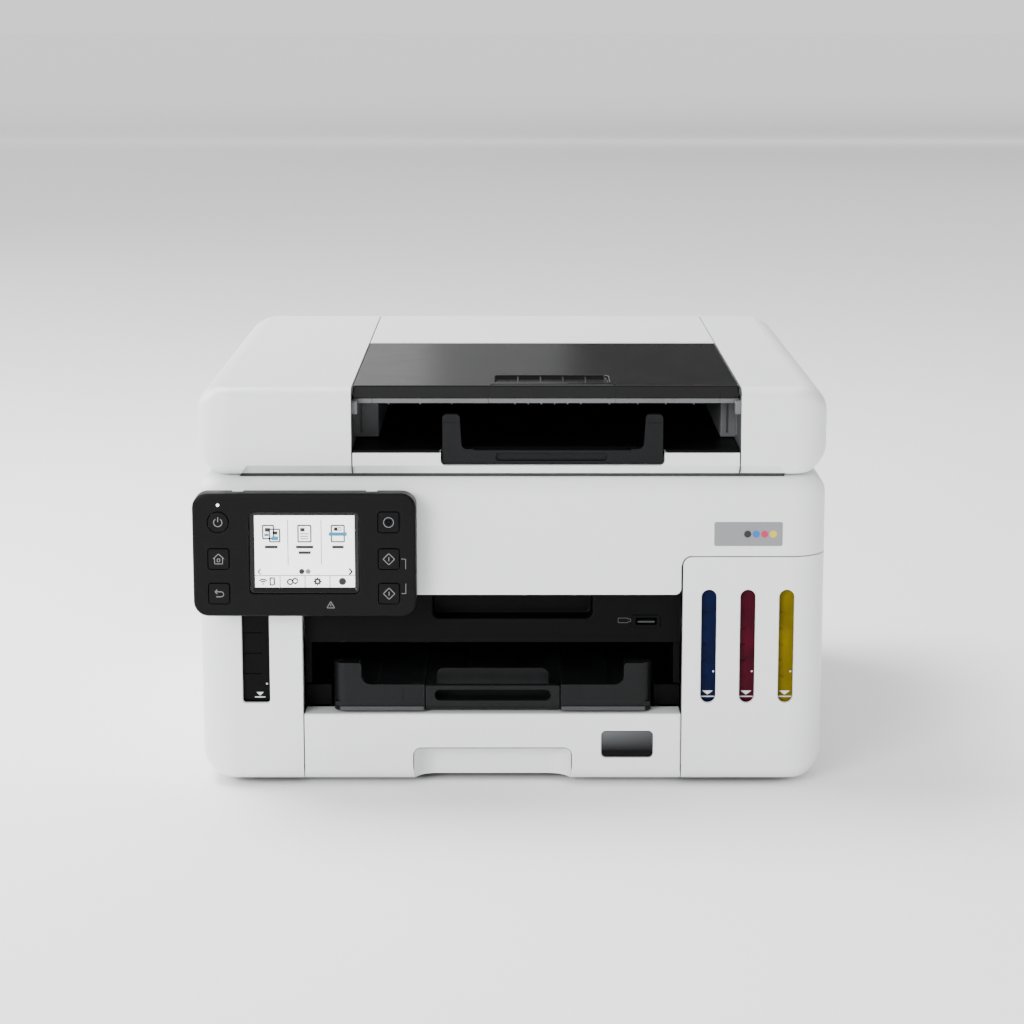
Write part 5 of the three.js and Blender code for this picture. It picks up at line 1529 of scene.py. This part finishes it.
def level_marks(ink, x):
    y = TANK_FRONT
    if ink == "black":
        rib = block((-8.4, 3.4), (y - 0.7, y + 0.3), (-0.5, 0.5), 0.3, 0.3, "Y")
        ribs = repeated(ROW, rib, INKS[ink], Count=3, Start=(x, 0, 73.6), Step=(0, 0, 13.4))
        dot, tip, base, half, line_low = (x + 6.4, 67.3), 59.5, 61.8, 2.3, 58.2
    else:
        rib = block((-4.6, -1.2), (y - 0.7, y + 0.3), (-0.35, 0.35), 0.25, 0.25, "Y")
        ribs = repeated(ROW, rib, INKS[ink], Count=5, Start=(x, 0, 72), Step=(0, 0, 10.5))
        dot, tip, base, half, line_low = (x + 3.5, 75.5), 60.2, 62.8, 3.4, 58.6
    finish(ribs, f"ink_tank_{ink}_level_ribs", "chassis", INKS[ink])
    sign_x = x + 1.9 if ink == "black" else x
    face = y - 0.02
    signs = [flat([(sign_x - half, base), (sign_x, tip), (sign_x + half, base)], face),
             dash(sign_x - half - 1, sign_x + half + 1, line_low, line_low + 0.7, face),
             spot(*dot, 0.6, face)]
    marks(f"ink_tank_{ink}_signs", "chassis", "white", signs)


def tank_cap(ink, x):
    name = "tank_cap_" + ink
    y, z = CAP_AXIS
    plate = block((x - 8.5, x + 8.5), (y - 14, y + 1.5), (z - 1.3, z + 2.2), 2, 0.7, "Z")
    barrel = rod(CAP_AXIS, 2, x - 8.5, x + 8.5)
    pin = rod(CAP_AXIS, 1.1, x - 10.6, x + 10.6, edge=0.2)
    finish(join(plate, barrel, pin), name + "_body", name, GREY_POM, [name], 0.2)
    dot = rod((x, y - 8), 4, z + 2.1, z + 2.35, "Z", 0.1)
    finish(dot, name + "_colour_dot", name, PRINTS["dark" if ink == "black" else ink])


for ink, x in TANKS.items():
    ink_tank(ink, x)
    level_marks(ink, x)
    tank_cap(ink, x)

# %% [markdown]
# ### Label on the front
# A silver label sits on the scanner housing above the colour tanks. On a shop model it carries a
# name; here it is blank apart from four dots in the ink colours, which tell what the tanks hold.

# %% Label
def front_label():
    y = -0.02
    plate = block((127.9, 171.2), (-0.16, -0.01), (158.3, 173.8), 1.2, 0.04, "Y")
    finish(plate, "front_label", "scanner_unit", FOIL)
    for i, colour in enumerate(("dark", "cyan", "magenta", "yellow")):
        dot = spot(149 + 5.4 * i, 166, 2.3, y - 0.15, 0.04)
        marks(f"front_label_{colour}_dot", "scanner_unit", colour, [dot])


front_label()

# %% [markdown]
# ## The printing mechanism
# With the scanner unit raised, the mechanism shows. Two zinc-plated side frames carry the rollers.
# The print head's carriage runs on a ground steel rod and is pulled by a toothed belt that a motor
# at the left drives.

# %% Frames and platen
FEED_AXIS, EJECT_AXIS, ARM_AXIS = (250, 80), (172, 77), (262, 66)
SCREW_HEIGHT = 0.9


def side_frame(name, x0):
    x1 = x0 + 2.7
    y, z = HINGE_Y, HINGE_Z
    profile = [(24, 8.3), (y - 3, 8.3), (y - 3, z - 7), (y + 3, z - 4), (y + 3, z + 4), (y - 2, z + 6),
               (y - 9, z + 4), (y - 13, z - 8), (256, z - 8), (256, 86.5), (138, 86.5), (138, 132),
               (17, 132), (17, 52), (24, 52)]
    body = prism(profile, x0, x1, "X")
    bearings = [rod(place, radius, x0 - 1, x1 + 1, edge=0.01)
                for place, radius in ((FEED_AXIS, 4.5), (EJECT_AXIS, 3.5), (ARM_AXIS, 3.5))]
    slots = [block((x0 - 1, x1 + 1), (y, y + 34), (22, 46), 6, 0.01, "X") for y in (60, 150, 300)]
    cut(body, *bearings, *slots)
    join(body, rod((HINGE_Y, HINGE_Z), 3, x0 - 6, x1 + 6, edge=0.6))
    finish(body, name + "_sheet", "chassis", ZINC, [name], 0.25)
    outer, turn = (x0, -90) if x0 < 0 else (x1, 90)
    head = screw_head()
    head.data.transform(Matrix.Rotation(math.radians(turn), 4, "Y"))
    screws = repeated(ROW, head, ZINC, Count=4, Start=(outer, 60, 140), Step=(0, 20, -4))
    finish(screws, name + "_screws", "chassis", ZINC)


def screw_head(radius=2.6):
    """A pan-head screw with a cross recess, standing on the plane z = 0."""
    head = rod((0, 0), radius, 0, SCREW_HEIGHT, "Z", 0.5, 24)
    arms = [slab((-1.5, 1.5), (-0.3, 0.3), (0.4, 2)), slab((-0.3, 0.3), (-1.5, 1.5), (0.4, 2))]
    return cut(head, *arms)


def print_platen():
    x0, x1 = BAY_LEFT + GAP, BAY_RIGHT - GAP
    bed = prism([(180, 70), (240, 66), (240, 83), (236, 84.5), (184, 84.5), (180, 82)], x0, x1, "X")
    rails = [slab(ends, (20, 181), (49.6, 63)) for ends in ((x0, x0 + 16.5), (x1 - 16.5, x1))]
    uprights = [slab(ends, (169, 200), (49.6, 75)) for ends in ((x0, x0 + 6), (x1 - 6, x1))]
    body = cut(join(bed, *rails, *uprights), rod(EJECT_AXIS, 6, BAY_LEFT, BAY_RIGHT, edge=0.01),
               slab((x0 + 12, x1 - 12), (196, 224), (83.2, 90)))
    finish(body, "print_platen_body", "chassis", BLACK_ABS, ["print_platen"], 0.4)
    rib = block((-0.6, 0.6), (198, 222), (83, 84.6), 0.3, 0.4, "Z")
    ribs = repeated(ROW, rib, BLACK_ABS, Count=17, Start=(x0 + 20, 0, 0), Step=(12.4, 0, 0))
    finish(ribs, "print_platen_ribs", "chassis", BLACK_ABS)


side_frame("left_frame", FRAME_X[0])
side_frame("right_frame", FRAME_X[1])
print_platen()

# %% [markdown]
# ### Rod, belt, motor and carriage
# The belt is black rubber with its teeth inwards. The carriage carries a row of vents in its front
# and four tube joints in a hollow in its top. The motor is a plain steel can with a shaft.

# %% Rod, belt, motor and carriage
BELT_LOW, BELT_HIGH = span("carriage_belt")
ROD_AXIS = (215, 118)


def guide_rod():
    low, high = span("guide_rod")
    bar_body = rod(((low.y + high.y) / 2, (low.z + high.z) / 2), 4, low.x, high.x, edge=0.8, sides=48)
    finish(bar_body, "guide_rod_bar", "chassis", ZINC, ["guide_rod"])


def carriage_belt():
    (x0, y0, z0), (x1, y1, z1) = BELT_LOW, BELT_HIGH
    outside = block((x0, x1), (y0, y1), (z0, z1), 7.19, 0.2, "Y")
    inside = block((x0 + 1.2, x1 - 1.2), (y0 - 1, y1 + 1), (z0 + 1.2, z1 - 1.2), 5.99, 0.01, "Y")
    finish(cut(outside, inside), "carriage_belt_loop", "chassis", RUBBER, ["carriage_belt"])
    count, pitch = 120, 3
    tooth = block((-0.7, 0.7), (y0 + 0.3, y1 - 0.3), (z1 - 2, z1 - 1.1), 0.2, 0.05, "Y", steps=2)
    first = -pitch * (count - 1) / 2
    teeth = repeated(ROW, tooth, RUBBER, Count=count, Start=(first, 0, 0), Step=(pitch, 0, 0))
    finish(teeth, "carriage_belt_teeth", "chassis", RUBBER)


def carriage_motor():
    low, high = span("carriage_motor")
    x, z = (low.x + high.x) / 2, (low.z + high.z) / 2
    can = rod((x, z), 13, high.y - 34, high.y, "Y", 1.4, 56)
    shaft = rod((x, z), 5.2, low.y, high.y - 33.5, "Y", 0.4)
    finish(join(can, shaft), "carriage_motor_can", "chassis", ZINC, ["carriage_motor"])


def print_carriage():
    low, high = span("print_carriage")
    top = 148
    profile = [(150, 93), (170, 88), (214, 88), (224, 98), (243, 128), (243, 143), (236, top), (158, top),
               (150, 140)]
    body = prism(profile, low.x, high.x, "X")
    hollow = hole((low.x + 5, high.x - 5), (158, 205), top, top - 5, 3, 0.6, "Z", floor=1)
    vents = [slab((low.x + 8 + 4 * i, low.x + 10 + 4 * i), (149, 150.8), (104, 134)) for i in range(14)]
    cut(body, rod(ROD_AXIS, 4.5, low.x - 1, high.x + 1, edge=0.01), hollow, *vents)
    finish(body, "print_carriage_body", "print_carriage", BLACK_ABS, ["print_carriage"], 0.7)
    for i, ink in enumerate(TANKS):
        x = low.x + 13 + 14.6 * i
        tube = rod((x, 176), 3.2, 143.2, 147.6, "Z", 0.6)
        finish(tube, f"print_carriage_{ink}_joint", "print_carriage", GREY_POM)


guide_rod()
carriage_belt()
carriage_motor()
print_carriage()
feed_left, feed_right = (corner.x for corner in span("feed_roller"))
rollers_on_shaft("feed_roller", "feed_roller", FEED_AXIS, 7, 4, (feed_left, feed_right),
                 [(BAY_LEFT + 6 + 40 * i, BAY_LEFT + 34 + 40 * i) for i in range(6)],
                 (feed_right - 6, 14, 42))
eject_left, eject_right = (corner.x for corner in span("eject_roller"))
rollers_on_shaft("eject_roller", "eject_roller", EJECT_AXIS, 4.5, 3, (eject_left, eject_right),
                 [(x - 5, x + 5) for x in (-110, -70, -30, 5, 45, 85)], (eject_right - 6, 9, 27))

# %% [markdown]
# ### Pick-up arm and roller
# The pick-up roller hangs on an arm under the feed path and drops onto the stack. Its rubber has
# grooves across it, which grip the top sheet and no other.

# %% Pick-up arm and roller
def pickup_arm():
    low, high = span("pickup_arm")
    middle = centre_x("pickup_roller")
    y, z = ARM_AXIS
    shaft = rod((y, z), 3, low.x, high.x, edge=0.5)
    cheeks = [prism(rounded(y - 6, y + 41, z - 6, z + 5, 5), x - 1.2, x + 1.2, "X")
              for x in (middle - 12, middle + 12)]
    axle = rod((y + 36, z - 2), 2, middle - 12, middle + 12)
    finish(join(shaft, *cheeks, axle), "pickup_arm_body", "pickup_arm", GREY_POM, ["pickup_arm"], 0.25)


def pickup_roller():
    low, high = span("pickup_roller")
    y, z = (low.y + high.y) / 2, (low.z + high.z) / 2
    tyre = rod((y, z), 8.6, low.x, high.x, edge=0.5, sides=48)
    cut(tyre, rod((y, z), 2.5, low.x - 1, high.x + 1, edge=0.01))
    finish(tyre, "pickup_roller_tyre", "pickup_roller", RUBBER, ["pickup_roller"])
    ridge = block((-0.3, 0.4), (-0.35, 0.35), (-(high.x - low.x) + 0.6, -0.6), 0.15, 0.1, "Z", steps=2)
    ridges = ring_on_x(repeated(RING, ridge, RUBBER, Count=36, Radius=8.6), high.x, y, z)
    finish(ridges, "pickup_roller_ridges", "pickup_roller", RUBBER)


pickup_arm()
pickup_roller()

# %% [markdown]
# ## Electronics, underside and rear
# The main board stands at the left, with its sockets at the rear; the power supply lies below it
# in its own case. Behind, a black cover closes the paper path, with a field of cooling slots and
# two grips. The waste-ink cartridge slides out at the rear right.

# %% Electronics and base
def socket_frame(x, z, depth, wall):
    rear = DEPTH - 1
    outside = slab(x, (rear - depth, rear), z)
    inside = slab((x[0] + wall, x[1] - wall), (rear - depth + 3, rear + 1), (z[0] + wall, z[1] - wall))
    return cut(outside, inside)


def main_board():
    x = span("main_board")[0].x
    board = slab((x, x + 1.6), (296, DEPTH - 8), (50, 142))
    strip = slab((x + 1, x + 4), (DEPTH - 22, DEPTH - 9), (78, 114))
    sockets = [socket_frame(*SOCKETS["network"], 20, 1.6), socket_frame(*SOCKETS["computer"], 18, 1.6)]
    body = join(board, strip, *sockets)
    finish(body, "main_board_assembly", "chassis", BOARD, ["main_board"], 0.15)
    chips = []
    for y, z, size, height in ((330, 110, 22, 2), (355, 82, 14, 1.6), (312, 72, 10, 1.6), (318, 128, 8, 1.2)):
        chips.append(block((x + 1.6, x + 1.6 + height), (y, y + size), (z - size, z), 0.5, 0.2, "X"))
    finish(merged(chips), "main_board_chips", "chassis", BLACK_ABS)
    can = rod((0, 0), 4, 0, 9, "X", 0.7, 28)
    cans = repeated(ROW, can, ZINC, Count=4, Start=(x + 1.6, 304, 60), Step=(0, 11, 0))
    finish(cans, "main_board_capacitors", "chassis", ZINC)


def power_supply():
    low, high = span("power_supply")
    (x0, x1), (z0, z1) = SOCKETS["power_inlet"]
    case = block((low.x, high.x), (low.y, DEPTH - 6), (low.z, high.z), 2, 0.8, "Y")
    body = join(case, slab((x0, x1), (DEPTH - 19, DEPTH - 1), (z0, z1)))
    mouth = hole((x0 + 2.4, x1 - 2.4), (z0 + 2.4, z1 - 2.4), DEPTH - 1, DEPTH - 16, 3, 0.5)
    slots = [slab((low.x + 4 + 5 * i, low.x + 6 + 5 * i), (300, 360), (high.z - 1.5, high.z + 1))
             for i in range(7)]
    cut(body, mouth, *slots)
    finish(body, "power_supply_case", "chassis", GREY_POM, ["power_supply"], 0.3)
    pins = [block((x - 0.9, x + 0.9), (DEPTH - 16.5, DEPTH - 4), (27, 31), 0.4, 0.4, "Y")
            for x in ((x0 + x1) / 2 - 4, (x0 + x1) / 2 + 4)]
    finish(merged(pins), "power_inlet_pins", "chassis", ZINC)


def base_plate():
    """A flat plate with a recess for the cassette's front, two ribs, and nine shallow wells below."""
    top = BOTTOM + 3.2
    plate = underside(WALL + GAP, (BOTTOM, top))
    cut(plate, slab((BAY_LEFT - 1, BAY_RIGHT + 1), (-1, 21.5), (0, 20)))
    join(plate, *[slab((x - 1.5, x + 1.5), (30, 380), (top - 1, top + 0.8)) for x in (-90, 65)])
    wells = [hole((x, x + 60), (y, y + 60), BOTTOM, BOTTOM + 1, 6, 0.4, "Z", floor=0.6)
             for x in (-90, -20, 50) for y in (110, 190, 270)]
    cut(plate, *wells)
    finish(plate, "base_plate_body", "chassis", BLACK_ABS, ["base_plate"], 0.3)


def feet():
    for place in ("front_left", "front_right", "rear_left", "rear_right"):
        low, high = span("foot_" + place)
        x, y = (low.x + high.x) / 2, (low.y + high.y) / 2
        foot = rod((x, y), 9.8, low.z, high.z, "Z", 0.9, 56)
        groove = cut(rod((x, y), 6.6, low.z - 1, low.z + 0.6, "Z", 0.01),
                     rod((x, y), 5.4, low.z - 2, low.z + 2, "Z", 0.01))
        finish(cut(foot, groove), f"foot_{place}_pad", "chassis", RUBBER, ["foot_" + place], 0.1)


main_board()
power_supply()
base_plate()
feet()

# %% [markdown]
# ### Rear cover and cartridge
# The rear cover follows the casing's rear face. Its grips are sunk, its slots are a repeated
# template cut in one go, and four screws hold it.

# %% Rear cover and cartridge
def rear_cover():
    plate = common(cut(lower_form(), lower_form(WALL)),
                   slab((BAY_LEFT + GAP, BAY_RIGHT - GAP), (DEPTH - 12, DEPTH + 1), (21, SEAM - 2.6)))
    centre = (BAY_LEFT + BAY_RIGHT) / 2
    grips = [hole((x - 16, x + 16), (128, 140), DEPTH, DEPTH - 1.4, 3, 0.5, floor=0.4)
             for x in (centre - 60, centre + 60)]
    cut(plate, *grips)
    slot = block((-1.1, 1.1), (DEPTH - 1.3, DEPTH + 1), (-22, 22), 1.1, 0.01, "Y", steps=4)
    field = repeated(ROW, slot, BLACK_ABS, Count=25, Start=(centre - 72, 0, 84), Step=(6, 0, 0))
    cut(plate, field)
    finish(plate, "rear_cover_plate", "chassis", BLACK_ABS, ["rear_cover"], 0.3)
    for z, level in ((34, "lower"), (143, "upper")):
        head = screw_head(3)
        head.data.transform(Matrix.Rotation(math.radians(-90), 4, "X"))
        pair = repeated(ROW, head, ZINC, Count=2, Start=(centre - 108, DEPTH - 0.6, z), Step=(216, 0, 0))
        finish(pair, f"rear_cover_{level}_screws", "chassis", ZINC)


def maintenance_cartridge():
    low, high = span("maintenance_cartridge")
    body = block((low.x, high.x), (low.y, DEPTH - 1), (low.z, high.z), 2, 0.8, "Y")
    grip = block((145, 165), (DEPTH - 1.5, DEPTH - 0.2), (30, 36), 1.5, 0.4, "Y")
    outline = block((low.x + 4, high.x - 4), (DEPTH - 1.8, DEPTH), (low.z + 4, high.z - 4), 2, 0.01, "Y")
    middle = block((low.x + 5, high.x - 5), (DEPTH - 3, DEPTH + 1), (low.z + 5, high.z - 5), 1.5, 0.01, "Y")
    cut(join(body, grip), cut(outline, middle))
    finish(body, "maintenance_cartridge_case", "maintenance_cartridge", GREY_POM,
           ["maintenance_cartridge"], 0.25)


rear_cover()
maintenance_cartridge()

# %% [markdown]
# ## Studio
# A pale floor, a pale surround and large soft lamps: one above the printer, one in front at the
# left, a small one close to the lid's left side, and one behind at the left that draws the light
# along the top edges. Three matt cards hang far behind, above the camera's view. The smoked tray
# mirrors them, so it fades from grey at the left to black at the right. None of this is part of
# the printer.

# %% Floor, light and camera
CAMERA_DISTANCE, CAMERA_HEIGHT, CAMERA_TILT, LENS = 1.683, 0.4979, 10.69, 95.38
CARD_Y, CARD_Z = (7900, 7920), (540, 2600)


def pale_floor():
    builder = bmesh.new()
    bmesh.ops.create_grid(builder, x_segments=1, y_segments=1, size=40)
    mesh = bpy.data.meshes.new("floor")
    builder.to_mesh(mesh)
    builder.free()
    made = bpy.data.objects.new("floor", mesh)
    material, place = new_material("pale_paper")
    fibre = add(material, "ShaderNodeTexNoise", {"Vector": place, "Scale": 1 / (3 * MM)})
    tone = add(material, "ShaderNodeMix", {"Factor": fibre.outputs["Fac"], "A": linear("fbfbfb"),
                                           "B": linear("f8f8f8")}, data_type="RGBA")
    shader = add(material, "ShaderNodeBsdfPrincipled", {"Base Color": result(tone), "Roughness": 0.9})
    surface(material, shader)
    mesh.materials.append(material)
    bpy.context.scene.collection.objects.link(made)


def lamp(name, place, aim, size, power):
    light = bpy.data.lights.new(name, "AREA")
    light.shape = "RECTANGLE"
    light.size, light.size_y = size
    light.energy = power
    made = bpy.data.objects.new(name, light)
    made.location = place
    made.rotation_euler = (Vector(aim) - Vector(place)).to_track_quat("-Z", "Y").to_euler()
    bpy.context.scene.collection.objects.link(made)


def surround(strength):
    world = bpy.data.worlds.new("studio")
    world.use_nodes = True
    background = world.node_tree.nodes["Background"]
    background.inputs["Color"].default_value = (1, 1, 1, 1)
    background.inputs["Strength"].default_value = strength
    bpy.context.scene.world = world


def camera():
    data = bpy.data.cameras.new("camera")
    data.sensor_width = 36
    data.lens = LENS
    made = bpy.data.objects.new("camera", data)
    made.location = (0, front_plane - CAMERA_DISTANCE, CAMERA_HEIGHT)
    made.rotation_euler = (math.radians(90 - CAMERA_TILT), 0, 0)
    bpy.context.scene.collection.objects.link(made)
    bpy.context.scene.camera = made


def card(name, code, x):
    """A matt card that sets how dark a smooth part looks where it mirrors the card."""
    made = slab(x, CARD_Y, CARD_Z)
    made.data.transform(Matrix.Scale(MM, 4))
    made.name = name
    material, place = new_material(name)
    nap = add(material, "ShaderNodeTexNoise", {"Vector": place, "Scale": 1 / (4 * MM)})
    roughness = add(material, "ShaderNodeMapRange",
                    {"Value": nap.outputs["Fac"], "To Min": 0.85, "To Max": 1.0})
    surface(material, add(material, "ShaderNodeBsdfPrincipled",
                          {"Base Color": linear(code), "Roughness": result(roughness)}))
    made.data.materials.append(material)


pale_floor()
lamp("overhead", (-0.9, 0.5, 2.0), (0, 0.1, 0.2), (1.4, 1.0), 75)
lamp("front_left", (-1.8, -3.2, 1.3), (0, 0, 0.15), (1.6, 1.2), 125)
lamp("near_left", (-1.0, 0.25, 0.62), (-0.15, 0.2, 0.25), (0.5, 0.3), 5)
lamp("rear_left", (-2.6, 2.6, 1.2), (-0.1, 0, 0.25), (1.6, 1.2), 30)
card("pale_card_behind_left", "c4c4c4", (-4000, -300))
card("grey_card_behind", "808080", (-300, 200))
card("black_card_behind_right", "1c1c1c", (200, 9000))
surround(1.15)
camera()
